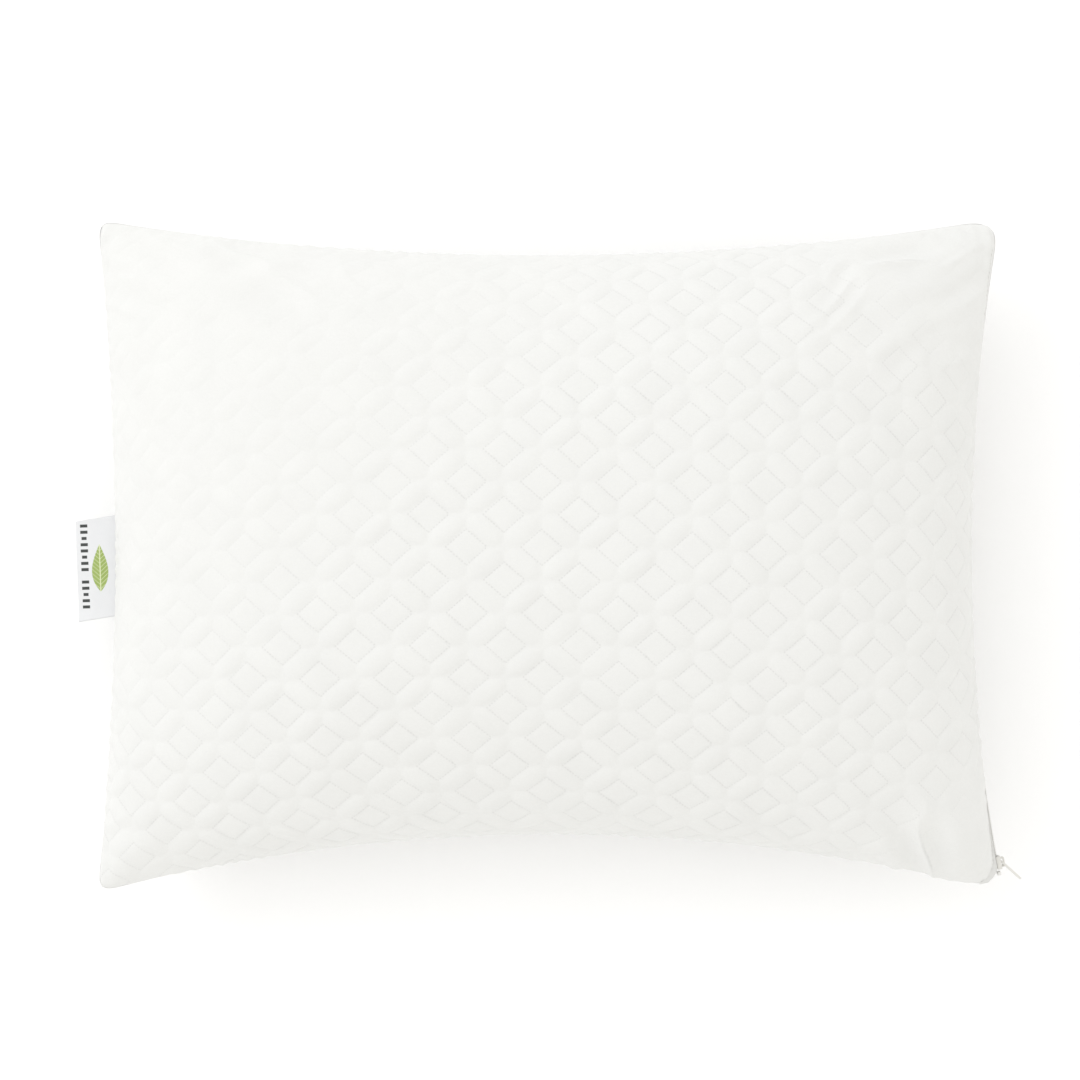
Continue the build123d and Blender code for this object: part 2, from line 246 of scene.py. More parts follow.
def spline_matrix(count, factor):
    """Rows of cubic spline weights that give factor times as many steps as count."""
    steps = np.arange(count * factor + 1) / factor
    rows = np.zeros((len(steps), count + 3))
    first = np.minimum(steps.astype(int), count - 1)
    t = steps - first
    weights = ((1 - t) ** 3, 3 * t**3 - 6 * t**2 + 4, -3 * t**3 + 3 * t**2 + 3 * t + 1, t**3)
    for k, weight in enumerate(weights):
        rows[np.arange(len(steps)), first + k] += weight / 6
    ends = rows[:, 1:-1].copy()
    ends[:, 0] += 2 * rows[:, 0]
    ends[:, 1] -= rows[:, 0]
    ends[:, -1] += 2 * rows[:, -1]
    ends[:, -2] -= rows[:, -1]
    return ends


def refine(grid, factor):
    """A grid of points or values on a smooth surface through a coarser one."""
    along = spline_matrix(grid.shape[0] - 1, factor)
    across = spline_matrix(grid.shape[1] - 1, factor)
    return np.einsum("ia,ab...,jb->ij...", along, grid, across, optimize=True)


def surface_normals(grid):
    along, across = np.gradient(grid, axis=0), np.gradient(grid, axis=1)
    normal = np.cross(along, across)
    return normal / np.maximum(np.linalg.norm(normal, axis=-1, keepdims=True), 1e-12)


def soft_noise(shape, size, cell, seed):
    """Smooth noise from -1 to 1 over a grid whose sides are size, with lumps of cell."""
    counts = [max(2, int(math.ceil(side / cell))) for side in size]
    coarse = np.random.RandomState(seed).uniform(-1, 1, (counts[0] + 4, counts[1] + 4))
    rows = np.linspace(1, counts[0] + 1, shape[0])
    columns = np.linspace(1, counts[1] + 1, shape[1])
    return sample(coarse, rows[:, None] + 0 * columns[None, :], columns[None, :] + 0 * rows[:, None])


def sample(values, rows, columns):
    """Smoothly interpolated values of a coarse grid at fractional rows and columns."""
    rows = np.clip(rows, 0, values.shape[0] - 1.001)
    columns = np.clip(columns, 0, values.shape[1] - 1.001)
    i, j = rows.astype(int), columns.astype(int)
    s, t = smoothstep(0, 1, rows - i), smoothstep(0, 1, columns - j)
    low = values[i, j] * (1 - s) + values[i + 1, j] * s
    high = values[i, j + 1] * (1 - s) + values[i + 1, j + 1] * s
    return low * (1 - t) + high * t


# ---- shader helpers -------------------------------------------------------------------------
class NodeTree:
    """Adds and links shader nodes with little writing."""

    def __init__(self, tree):
        self.tree = tree

    def add(self, kind, inputs=(), **settings):
        node = self.tree.nodes.new(kind)
        for key, value in settings.items():
            setattr(node, key, value)
        for key, value in dict(inputs).items():
            self.put(node.inputs[key], value)
        return node

    def put(self, socket, value):
        if isinstance(value, bpy.types.NodeSocket):
            self.tree.links.new(value, socket)
        else:
            socket.default_value = value

    def math(self, operation, *values):
        node = self.tree.nodes.new("ShaderNodeMath")
        node.operation = operation
        for socket, value in zip(node.inputs, values):
            self.put(socket, value)
        return node.outputs[0]

    def plus(self, first, second):
        return self.math("ADD", first, second)

    def minus(self, first, second):
        return self.math("SUBTRACT", first, second)

    def times(self, first, second):
        return self.math("MULTIPLY", first, second)

    def larger(self, first, second):
        return self.math("MAXIMUM", first, second)

    def size(self, value):
        return self.math("ABSOLUTE", value)

    def invert(self, value):
        return self.math("SUBTRACT", 1.0, value)

    def place(self):
        """The piece's own coordinates."""
        return self.add("ShaderNodeTexCoord").outputs["Object"]

    def noise(self, vector, scale, detail):
        return self.add("ShaderNodeTexNoise", {
            "Vector": vector, "Scale": scale, "Detail": detail}).outputs["Fac"]

    def mix(self, factor, first, second):
        node = self.tree.nodes.new("ShaderNodeMix")
        node.data_type = "RGBA"
        self.put(node.inputs["Factor"], factor)
        self.put(node.inputs["A"], first)
        self.put(node.inputs["B"], second)
        return node.outputs["Result"]

    def step(self, value, low, high):
        """0 below low, 1 above high, smooth between."""
        node = self.add("ShaderNodeMapRange", {"Value": value, "From Min": low, "From Max": high})
        node.interpolation_type = "SMOOTHSTEP"
        return node.outputs["Result"]


def new_group(name, inputs, outputs):
    """A shader group with named float, vector or colour sockets."""
    tree = bpy.data.node_groups.new(name, "ShaderNodeTree")
    for socket_name, kind, default in inputs:
        socket = tree.interface.new_socket(socket_name, in_out="INPUT", socket_type=kind)
        if default is not None:
            socket.default_value = default
    for socket_name, kind in outputs:
        tree.interface.new_socket(socket_name, in_out="OUTPUT", socket_type=kind)
    nodes = NodeTree(tree)
    return nodes, nodes.add("NodeGroupInput").outputs, nodes.add("NodeGroupOutput").inputs


def new_material(name, roughness):
    """A material with its Principled shader, ready for colour and relief."""
    material = bpy.data.materials.new(name)
    material.use_nodes = True
    nodes = NodeTree(material.node_tree)
    shader = material.node_tree.nodes["Principled BSDF"]
    shader.inputs["Roughness"].default_value = roughness
    return material, nodes, shader


def rgba(colour, factor=1.0):
    return (colour[0] * factor, colour[1] * factor, colour[2] * factor, 1.0)


def weave_group():
    """Crossing threads: relief and a mask of the gaps between threads, where painted shade goes."""
    if "Weave" in bpy.data.node_groups:
        return bpy.data.node_groups["Weave"]
    nodes, given, result = new_group(
        "Weave",
        [("Vector", "NodeSocketVector", None), ("Threads", "NodeSocketFloat", 1000.0)],
        [("Relief", "NodeSocketFloat"), ("Gaps", "NodeSocketFloat")])
    split = nodes.add("ShaderNodeSeparateXYZ", {"Vector": given["Vector"]})
    turn = nodes.times(given["Threads"], math.pi)
    waves = [nodes.math("SINE", nodes.times(split.outputs[k], turn)) for k in (0, 1)]
    warp = nodes.size(waves[0])
    weft = nodes.size(waves[1])
    checks = nodes.times(*waves)
    over = nodes.step(checks, -0.2, 0.2)
    relief = nodes.plus(nodes.times(over, warp), nodes.times(nodes.invert(over), weft))
    nodes.put(result["Relief"], relief)
    nodes.put(result["Gaps"], nodes.invert(nodes.step(relief, 0.05, 0.5)))
    return nodes.tree


def wear_group():
    """Fine scuffs and blotches for painted and moulded pieces."""
    if "Wear" in bpy.data.node_groups:
        return bpy.data.node_groups["Wear"]
    nodes, given, result = new_group(
        "Wear",
        [("Vector", "NodeSocketVector", None), ("Scale", "NodeSocketFloat", 400.0)],
        [("Scuffs", "NodeSocketFloat"), ("Blotches", "NodeSocketFloat")])
    fine = nodes.add("ShaderNodeTexNoise", {
        "Vector": given["Vector"], "Scale": given["Scale"], "Detail": 6.0, "Roughness": 0.7})
    broad_scale = nodes.times(given["Scale"], 0.22)
    broad = nodes.add("ShaderNodeTexNoise", {
        "Vector": given["Vector"], "Scale": broad_scale, "Detail": 3.0})
    nodes.put(result["Scuffs"], nodes.step(fine.outputs["Fac"], 0.56, 0.72))
    nodes.put(result["Blotches"], broad.outputs["Fac"])
    return nodes.tree


def place_group(nodes, tree, inputs):
    node = nodes.add("ShaderNodeGroup")
    node.node_tree = tree
    for key, value in inputs.items():
        nodes.put(node.inputs[key], value)
    return node.outputs


def bump(nodes, shader, height, distance, strength):
    node = nodes.add("ShaderNodeBump", {
        "Height": height, "Distance": distance, "Strength": strength})
    nodes.put(shader.inputs["Normal"], node.outputs["Normal"])


# ---- materials ------------------------------------------------------------------------------
def quilt_stitch_group(cover):
    """Where the quilting thread lies: lines round each patch, broken into stitches; the masks shape
    the stitch relief and the painted shade in the stitch dimples.
    """
    nodes, given, result = new_group(
        "Quilt stitches", [("Vector", "NodeSocketVector", None)],
        [("Line", "NodeSocketFloat"), ("Stitch", "NodeSocketFloat")])
    split = nodes.add("ShaderNodeSeparateXYZ", {"Vector": given["Vector"]})
    u = nodes.math("DIVIDE", split.outputs[0], cover.repeat_long)
    v = nodes.math("DIVIDE", split.outputs[1], cover.repeat_across)
    away = []
    for operation in ("ADD", "SUBTRACT"):
        diagonal = nodes.plus(nodes.math(operation, u, v), 100.5)
        centred = nodes.minus(nodes.math("FRACT", diagonal), 0.5)
        away.append((nodes.size(centred), diagonal))
    lines, stitches = [], []
    for k in (0, 1):
        across, along = away[k], away[1 - k]
        near = nodes.size(nodes.minus(across[0], PATCH_HALF))
        line = nodes.invert(nodes.step(near, 0.003, 0.016))
        inside = nodes.invert(nodes.step(along[0], PATCH_HALF, PATCH_HALF + 0.02))
        line = nodes.times(line, inside)
        beat = nodes.math("SINE", nodes.times(along[1], math.tau * STITCHES_PER_REPEAT))
        lines.append(line)
        stitches.append(nodes.times(line, nodes.step(beat, -0.1, 0.5)))
    # The stitch marks, relief and painted shade alike, fade out towards the back left, back right
    # and front right.
    long_way, cross_way = split.outputs[0], split.outputs[1]
    back_left = nodes.step(nodes.minus(cross_way, long_way), 0.05, 0.30)
    back_right = nodes.step(nodes.plus(cross_way, long_way), 0.36, 0.45)
    front_right = nodes.step(nodes.minus(long_way, cross_way), 0.38, 0.48)
    loose = nodes.larger(nodes.larger(back_left, back_right), front_right)
    shown = nodes.invert(nodes.times(loose, 0.85))
    for name, marks in (("Line", lines), ("Stitch", stitches)):
        nodes.put(result[name], nodes.times(nodes.larger(*marks), shown))
    return nodes.tree


def quilted_knit_material(cover):
    """White matt knit: fine loops, soft mottling, sunken stitches round the patches and painted
    shade in the stitch dimples.
    """
    material, nodes, shader = new_material("quilted knit", 0.92)
    cloth = nodes.add("ShaderNodeUVMap", uv_map="cloth").outputs["UV"]
    stitch = place_group(nodes, quilt_stitch_group(cover), {"Vector": cloth})
    loops = nodes.add("ShaderNodeTexVoronoi", {"Vector": cloth, "Scale": 900.0, "Randomness": 0.55})
    fuzz = nodes.noise(cloth, 420.0, 5.0)
    mottle = nodes.noise(cloth, 34.0, 3.0)
    grain = nodes.plus(nodes.times(loops.outputs["Distance"], 0.45), nodes.times(fuzz, 0.55))
    tone = nodes.plus(nodes.times(mottle, 0.5), nodes.times(grain, 0.5))
    ground = nodes.mix(nodes.step(tone, 0.3, 0.7), rgba(cover.colour, 0.965), rgba(cover.colour))
    # Painted shade: the stitch dimples are darkened in the base colour.
    shaded_stitches = nodes.mix(nodes.times(stitch["Stitch"], 0.4), ground, rgba(cover.colour, 0.82))
    nodes.put(shader.inputs["Base Color"], shaded_stitches)
    height = nodes.minus(nodes.times(grain, 0.22), nodes.times(stitch["Stitch"], 0.5))
    height = nodes.minus(height, nodes.times(stitch["Line"], 0.12))
    bump(nodes, shader, height, 0.0005, 0.6)
    shader.inputs["Sheen Weight"].default_value = 0.18
    shader.inputs["Sheen Roughness"].default_value = 0.5
    shader.inputs["Specular IOR Level"].default_value = 0.25
    return material


def woven_material(name, colour, threads, sheen=0.1):
    """Plain woven cloth on Object coordinates, with painted shade in the gaps between threads."""
    material, nodes, shader = new_material(name, 0.8)
    place = nodes.place()
    turned = nodes.add("ShaderNodeMapping", {"Vector": place, "Rotation": (0.6, 0.0, 0.0)})
    weave = place_group(nodes, weave_group(), {
        "Vector": turned.outputs["Vector"], "Threads": threads})
    ground = nodes.mix(nodes.noise(place, 60.0, 4.0), rgba(colour, 0.94), rgba(colour))
    # Painted shade: the gaps between threads are darkened in the base colour.
    nodes.put(shader.inputs["Base Color"], nodes.mix(
        nodes.times(weave["Gaps"], 0.4), ground, rgba(colour, 0.8)))
    bump(nodes, shader, weave["Relief"], 0.00012, 0.8)
    shader.inputs["Sheen Weight"].default_value = sheen
    return material


def thread_material():
    """White sewing thread with its twist, and painted shade in the twist's grooves."""
    material, nodes, shader = new_material("sewing thread", 0.6)
    place = nodes.place()
    twist = nodes.add("ShaderNodeTexWave", {"Vector": place, "Scale": 900.0, "Distortion": 1.0})
    twist.bands_direction = "DIAGONAL"
    # Painted shade: the twist's grooves, low in the bump, are darker in the base colour.
    nodes.put(shader.inputs["Base Color"], nodes.mix(
        twist.outputs["Fac"], (0.70, 0.70, 0.67, 1.0), (0.80, 0.80, 0.77, 1.0)))
    bump(nodes, shader, twist.outputs["Fac"], 0.00006, 0.6)
    return material


def enamel_material(name, colour):
    """Off-white enamel on cast metal, dulled and chipped a little."""
    material, nodes, shader = new_material(name, 0.35)
    place = nodes.place()
    wear = place_group(nodes, wear_group(), {"Vector": place, "Scale": 700.0})
    ground = nodes.mix(wear["Blotches"], rgba(colour, 0.9), rgba(colour))
    chips = nodes.times(wear["Scuffs"], 0.3)
    nodes.put(shader.inputs["Base Color"], nodes.mix(chips, ground, (0.42, 0.41, 0.39, 1.0)))
    roughness = nodes.plus(nodes.times(wear["Scuffs"], 0.25), 0.3)
    nodes.put(shader.inputs["Roughness"], roughness)
    bump(nodes, shader, wear["Blotches"], 0.00005, 0.5)
    shader.inputs["Coat Weight"].default_value = 0.3
    return material


def nylon_material():
    """Slightly clear white nylon for coil and stops."""
    material, nodes, shader = new_material("white nylon", 0.38)
    place = nodes.place()
    wear = place_group(nodes, wear_group(), {"Vector": place, "Scale": 500.0})
    colour = (0.80, 0.795, 0.77)
    nodes.put(shader.inputs["Base Color"], nodes.mix(
        wear["Blotches"], rgba(colour, 0.93), rgba(colour)))
    nodes.put(shader.inputs["Roughness"], nodes.plus(nodes.times(wear["Blotches"], 0.2), 0.28))
    bump(nodes, shader, wear["Blotches"], 0.00003, 0.5)
    return material


# ---- sewn panels ----------------------------------------------------------------------------
def arc_points(start, end, bow, inward, t):
    """Points along the circular arc from start to end that is pulled in by bow."""
    start, end, inward = (np.array(value, float) for value in (start, end, inward))
    middle, half = (start + end) / 2, np.linalg.norm(end - start) / 2
    if bow < 1e-9:
        return start + (end - start) * t[:, None]
    radius = (half * half + bow * bow) / (2 * bow)
    centre = middle + inward * (bow - radius)
    first, last = (math.atan2(*(point - centre)[::-1]) for point in (start, end))
    turn = (last - first + math.pi) % math.tau - math.pi
    angle = first + turn * t
    return centre + radius * np.stack([np.cos(angle), np.sin(angle)], -1)


def rounded_rim(corners, bows, rounding, counts):
    """The seam as four rows of points: front, zip side, back and label side."""
    t = [np.linspace(0, 1, count + 1) for count in counts]
    sides = []
    for k in range(4):
        start, end = (np.array(corners[i % 4]) * MM for i in (k, k + 1))
        sides.append(arc_points(start, end, bows[k] * MM, INWARD[k], t[k % 2])[:-1])
    rim = np.concatenate(sides)
    total = len(rim)
    firsts = np.cumsum([0] + [len(side) for side in sides[:-1]])
    places = np.arange(total)
    for step in range(max(rounding)):
        smoothed = (np.roll(rim, 1, 0) + np.roll(rim, -1, 0) + 2 * rim) / 4
        weight = np.zeros(total)
        for first, passes in zip(firsts, rounding):
            if step < passes:
                away = np.abs((places - first + total // 2) % total - total // 2)
                reach = 2.0 * math.sqrt(passes)
                weight = np.maximum(weight, np.clip(1 - (away / reach) ** 2, 0, 1))
        rim += (smoothed - rim) * weight[:, None]
    loop = np.concatenate([rim, rim[:1]])
    stops = np.append(firsts, total)
    front, zip_side, back, label = (loop[stops[k]:stops[k + 1] + 1] for k in range(4))
    return front, zip_side, back[::-1], label[::-1]


def span_rim(rim):
    """Fills the seam's outline with an even grid of points."""
    front, zip_side, back, label = rim
    s = np.linspace(0, 1, len(front))[:, None, None]
    t = np.linspace(0, 1, len(label))[None, :, None]
    across = (1 - t) * front[:, None] + t * back[:, None]
    along = (1 - s) * label[None] + s * zip_side[None]
    bilinear = ((1 - s) * (1 - t) * front[0] + s * (1 - t) * front[-1]
                + (1 - s) * t * back[0] + s * t * back[-1])
    return across + along - bilinear


def dome_shape(counts):
    """Rough height of a filled panel, from 0 at the seam to 1 in the middle."""
    s, t = (np.linspace(-1, 1, count + 1) for count in counts)
    spread = (1 - np.abs(s) ** 3.2)[:, None] * (1 - np.abs(t) ** 2.4)[None, :]
    return spread ** 0.62


def lip_shape(counts, sewn, lip_side, reach=12 * MM):
    """How far the seam opens for the zip, from 0 to 1, on one short side."""
    s, t = (np.linspace(0, 1, count + 1) for count in counts)
    edge = (1 - s if lip_side > 0 else s) * sewn[0]
    near = np.clip(1 - edge / reach, 0, 1)[:, None]
    ends = np.clip(np.minimum(t, 1 - t) * sewn[1] / (4 * MM), 0, 1)[None, :]
    return near * ends


def quads_of(index, flip):
    quads = np.stack([index[:-1, :-1], index[1:, :-1], index[1:, 1:], index[:-1, 1:]], -1)
    return quads.reshape(-1, 4)[:, ::-1] if flip else quads.reshape(-1, 4)


def grid_index(shape, first=0):
    """Vertex numbers of a grid of points, row by row."""
    return np.arange(shape[0] * shape[1]).reshape(shape[:2]) + first


def tube_faces(shape, flip):
    """Faces of a tube whose rings are the rows of a grid, closed at both ends."""
    index = grid_index(shape)
    faces = quads_of(np.concatenate([index, index[:, :1]], 1), flip).tolist()
    return faces + [index[0].tolist(), index[-1][::-1].tolist()]


def close_bag(counts, lip_side):
    """Faces of a bag of two panels that share their seam except where the zip is."""
    upper = grid_index((counts[0] + 1, counts[1] + 1))
    lower = upper + upper.size
    lower[:, 0], lower[:, -1] = upper[:, 0], upper[:, -1]
    shut, open_side = (0, -1) if lip_side > 0 else (-1, 0)
    lower[shut] = upper[shut]
    faces = quads_of(upper, False).tolist() + quads_of(lower, True).tolist()
    above, below = upper[open_side], lower[open_side]
    for j in range(counts[1]):
        ring = [below[j], below[j + 1], above[j + 1], above[j]]
        ring = [int(v) for k, v in enumerate(ring) if v != ring[k - 1]]
        faces.append(ring if lip_side > 0 else ring[::-1])
    return upper, lower, faces


def even_spacing(grid, passes=3):
    """Slides the inner points of a grid along its lines until each line's steps are equal."""
    for _ in range(passes):
        for turned in (False, True):
            lines = grid.transpose(1, 0, 2) if turned else grid
            for line in lines[1:-1]:
                run = np.append(0, np.cumsum(np.linalg.norm(np.diff(line, axis=0), axis=1)))
                even = np.linspace(0, run[-1], len(line))
                line[1:-1] = np.stack([np.interp(even, run, line[:, k]) for k in range(3)], -1)[1:-1]
    return grid


def inflate(name, rim, sewn, counts, crown, depth, lip_side, pressure):
    """Simulates two flat sewn panels being filled. Returns the upper and lower grids."""
    flat = span_rim(rim)
    dome = dome_shape(counts)
    lips = lip_shape(counts, sewn, lip_side) * LIP_HALF
    start = []
    for sign, rise in ((1, crown), (-1, depth)):
        height = SEAM_Z + sign * (rise * dome + lips)
        start.append(even_spacing(np.concatenate([flat, height[..., None]], -1)))
    upper, lower, faces = close_bag(counts, lip_side)
    s, t = ((np.linspace(0, 1, count + 1) - 0.5) * side for count, side in zip(counts, sewn))
    laid = np.stack(np.meshgrid(s, t, indexing="ij") + [np.zeros((len(s), len(t)))], -1)
    points = np.concatenate([grid.reshape(-1, 3) for grid in start])
    cut = np.concatenate([laid.reshape(-1, 3)] * 2)
    used = np.zeros(len(points), bool)
    used[upper.ravel()] = used[lower.ravel()] = True
    renumber = np.cumsum(used) - 1
    bag = new_mesh_object(name, points[used], [[int(renumber[v]) for v in f] for f in faces])
    rim_ids = {int(renumber[v]) for grid in (upper, lower)
               for edge in (grid[0], grid[-1], grid[:, 0], grid[:, -1]) for v in edge}
    simulate_bag(bag, cut[used], sorted(rim_ids), pressure)
    evaluated = bag.evaluated_get(bpy.context.evaluated_depsgraph_get()).to_mesh()
    filled = np.empty(len(evaluated.vertices) * 3)
    evaluated.vertices.foreach_get("co", filled)
    filled = filled.reshape(-1, 3)
    bpy.data.objects.remove(bag)
    return [filled[renumber[grid.ravel()]].reshape(grid.shape + (3,)) for grid in (upper, lower)]


def simulate_bag(bag, cut, rim_ids, pressure):
    """Runs cloth with its true cut size, pinned at the seam, over a hard floor."""
    bag.shape_key_add(name="Sewn")
    laid_flat = bag.shape_key_add(name="Cut flat", from_mix=False)
    laid_flat.data.foreach_set("co", cut.ravel())
    laid_flat.value = 0.0
    bag.vertex_groups.new(name="seam").add(rim_ids, 1.0, "REPLACE")
    deselect_all()
    bpy.ops.mesh.primitive_plane_add(size=2.0, location=(0, 0, 0))
    floor = bpy.context.active_object
    floor.modifiers.new("Collision", "COLLISION")
    floor.collision.thickness_outer = 0.001
    cloth = bag.modifiers.new("Cloth", "CLOTH")
    settings = cloth.settings
    settings.rest_shape_key = laid_flat
    settings.quality = 6
    settings.tension_stiffness = settings.compression_stiffness = 30
    settings.shear_stiffness = 8
    settings.bending_stiffness = 2
    settings.tension_damping = settings.compression_damping = settings.shear_damping = 15
    settings.air_damping = 2
    settings.use_pressure = True
    settings.uniform_pressure_force = pressure
    settings.vertex_group_mass = "seam"
    settings.pin_stiffness = 50
    settings.effector_weights.gravity = 0
    cloth.collision_settings.distance_min = 0.002
    cloth.point_cache.frame_start, cloth.point_cache.frame_end = 1, SIM_FRAMES
    scene = bpy.context.scene
    for number in range(1, SIM_FRAMES + 1):
        scene.frame_set(number)
    bpy.data.objects.remove(floor)


def quilt_relief(u, v, cover, seed):
    """Height of the quilting over the cloth: padded rolls round softly domed patches."""
    shape, size = u.shape, (cover.sewn_length, cover.sewn_width)
    wobble = 1.1 * MM
    u = u + wobble * soft_noise(shape, size, 0.045, seed) + 0.5 * wobble * soft_noise(
        shape, size, 0.016, seed + 1)
    v = v + wobble * soft_noise(shape, size, 0.045, seed + 2) + 0.5 * wobble * soft_noise(
        shape, size, 0.016, seed + 3)
    a, b = u / cover.repeat_long + v / cover.repeat_across, u / cover.repeat_long - (
        v / cover.repeat_across)
    puff = np.random.RandomState(seed + 4).uniform(0.72, 1.15, (3, 97))
    rolls = np.zeros(shape)
    for k, (along, across) in enumerate(((a, b), (b, a))):
        cell = np.floor(across).astype(int) * 7 + np.round(along).astype(int) * 13
        s = (along - np.round(along)) / ROLL_HALF[0]
        t = (across - np.floor(across) - 0.5) / ROLL_HALF[1]
        swell = np.clip(1 - np.abs(s) ** 2.4 - t * t, 0, 1) ** 0.7
        rolls = np.maximum(rolls, swell * puff[k, cell % 97])
    p, q = ((value - np.round(value)) / PATCH_HALF for value in (a, b))
    cell = np.round(a).astype(int) * 5 + np.round(b).astype(int) * 11
    patch = np.clip(1 - p ** 4, 0, 1) ** 0.8 * np.clip(1 - q ** 4, 0, 1) ** 0.8
    p, q = ((value - np.floor(value) - 0.5) / KNOT_HALF for value in (a, b))
    knot = np.clip(1 - p * p, 0, 1) * np.clip(1 - q * q, 0, 1)
    height = np.maximum(cover.roll_height * rolls, cover.patch_height * patch * puff[2, cell % 97])
    height = np.maximum(height, 0.45 * cover.patch_height * knot)
    tight = 0.5 * smoothstep(0.05, 0.30, v - u) + 0.2 * smoothstep(0.15, 0.30, u)
    return height * (1 - tight)


def crumple(place, centre, spread, direction, wave, seed, size):
    """Loose creases around a corner: ridged noise drawn out along one direction."""
    shape = place.shape[:2]
    x, y = place[..., 0] - centre[0] * MM, place[..., 1] - centre[1] * MM
    mask = np.exp(-(x / (spread[0] * MM)) ** 2 - (y / (spread[1] * MM)) ** 2)
    bend = 9 * MM * soft_noise(shape, size, 0.05, seed)
    angle = math.radians(direction)
    across = (x * -math.sin(angle) + y * math.cos(angle) + bend) / (wave * MM)
    along = (x * math.cos(angle) + y * math.sin(angle)) / (3.2 * wave * MM)
    coarse = np.random.RandomState(seed + 1).uniform(-1, 1, (80, 80))
    folds = sample(coarse, across + 40, along + 40)
    ridged = 1 - 2 * np.abs(folds)
    return mask, mask * ridged


def seam_distances(counts, sewn):
    """How far each grid point is from the nearer short seam and from the nearer long seam."""
    s, t = (np.linspace(0, 1, count + 1) for count in counts)
    from_short = np.minimum(s, 1 - s)[:, None] * sewn[0] + 0 * t[None, :]
    from_long = np.minimum(t, 1 - t)[None, :] * sewn[1] + 0 * s[:, None]
    return from_short, from_long


def seam_fade(counts, sewn, reach):
    """0 on the seam and 1 further in than reach."""
    return smoothstep(0, reach, np.minimum(*seam_distances(counts, sewn)))


def gathers(counts, sewn, seed):
    """Small tucks across the seam, where the stitching draws the cloth in."""
    s, t = (np.linspace(0, 1, count + 1) for count in counts)
    x, y = np.meshgrid(s * sewn[0], t * sewn[1], indexing="ij")
    from_short, from_long = seam_distances(counts, sewn)
    shape, total = x.shape, np.zeros(x.shape)
    for edge, along in ((from_long, x), (from_short, y)):
        phase = along / (13 * MM) + 1.3 * soft_noise(shape, sewn, 0.07, seed)
        near = np.exp(-((edge - 7 * MM) / (9 * MM)) ** 2) * smoothstep(0, 4 * MM, edge)
        total += near * np.sin(math.tau * phase)
    return total * (0.6 + 0.4 * soft_noise(shape, sewn, 0.05, seed + 1))


def shell_mesh(name, outer, inner, uv, flip):
    """A closed sheet: a fine outer skin, a coarser inner skin and a rim that joins them."""
    fine = grid_index(outer.shape)
    coarse = grid_index(inner.shape, fine.size)
    factor = (fine.shape[0] - 1) // (coarse.shape[0] - 1)
    faces = quads_of(fine, flip).tolist() + quads_of(coarse, not flip).tolist()
    for fine_row, coarse_row in (
            (fine[:, 0], coarse[:, 0]), (fine[-1], coarse[-1]),
            (fine[:, -1][::-1], coarse[:, -1][::-1]), (fine[0][::-1], coarse[0][::-1])):
        for k in range(len(coarse_row) - 1):
            fan = fine_row[k * factor:(k + 1) * factor + 1]
            half = factor // 2
            rim = [[int(fan[i + 1]), int(fan[i]), int(coarse_row[k] if i < half
                    else coarse_row[k + 1])] for i in range(factor)]
            rim.append([int(fan[half]), int(coarse_row[k]), int(coarse_row[k + 1])])
            faces += [face[::-1] for face in rim] if flip else rim
    points = np.concatenate([outer.reshape(-1, 3), inner.reshape(-1, 3)])
    obj = new_mesh_object(name, points, faces, turn_outward=False)
    mesh = obj.data
    all_uv = np.concatenate([uv.reshape(-1, 2), uv[::factor, ::factor].reshape(-1, 2)])
    corners = np.empty(len(mesh.loops), np.int32)
    mesh.loops.foreach_get("vertex_index", corners)
    layer = mesh.uv_layers.new(name="cloth")
    layer.data.foreach_set("uv", all_uv[corners].ravel())
    return obj


def rolled_edge(counts, sewn):
    """The rounded lip beside the seam, and the line that the zip's stitching presses in."""
    from_short, from_long = seam_distances(counts, sewn)
    edge = np.minimum(from_short, from_long)
    lip = 1.1 * MM * np.exp(-((edge - 5 * MM) / (3.5 * MM)) ** 2) * smoothstep(0, 3 * MM, edge)
    from_zip = (1 - np.linspace(0, 1, counts[0] + 1))[:, None] * sewn[0]
    press = 0.8 * MM * np.exp(-((from_zip - 3.1 * MM) / (1.2 * MM)) ** 2)
    return lip - press * smoothstep(4 * MM, 12 * MM, from_long)


def inner_skin(grid, sign, thickness, opening):
    """The cloth's inner face, turned in flat along the seam and clear of the zip."""
    normal = surface_normals(grid) * sign
    inner = grid - normal * thickness
    inner[..., 2] = np.maximum(inner[..., 2], thickness + 0.2 * MM)
    away = sign * (inner[..., 2] - SEAM_Z)
    inner[..., 2] = SEAM_Z + sign * np.maximum(away, np.maximum(0.5 * MM, opening))
    flat = normal[..., :2] / np.maximum(np.linalg.norm(normal[..., :2], axis=-1), 1e-9)[..., None]
    for edge in (np.s_[0], np.s_[-1], np.s_[:, 0], np.s_[:, -1]):
        inner[edge][..., :2] = grid[edge][..., :2] - flat[edge] * thickness
        inner[edge][..., 2] = grid[edge][..., 2] + sign * SEAM_TURN_IN
    return inner


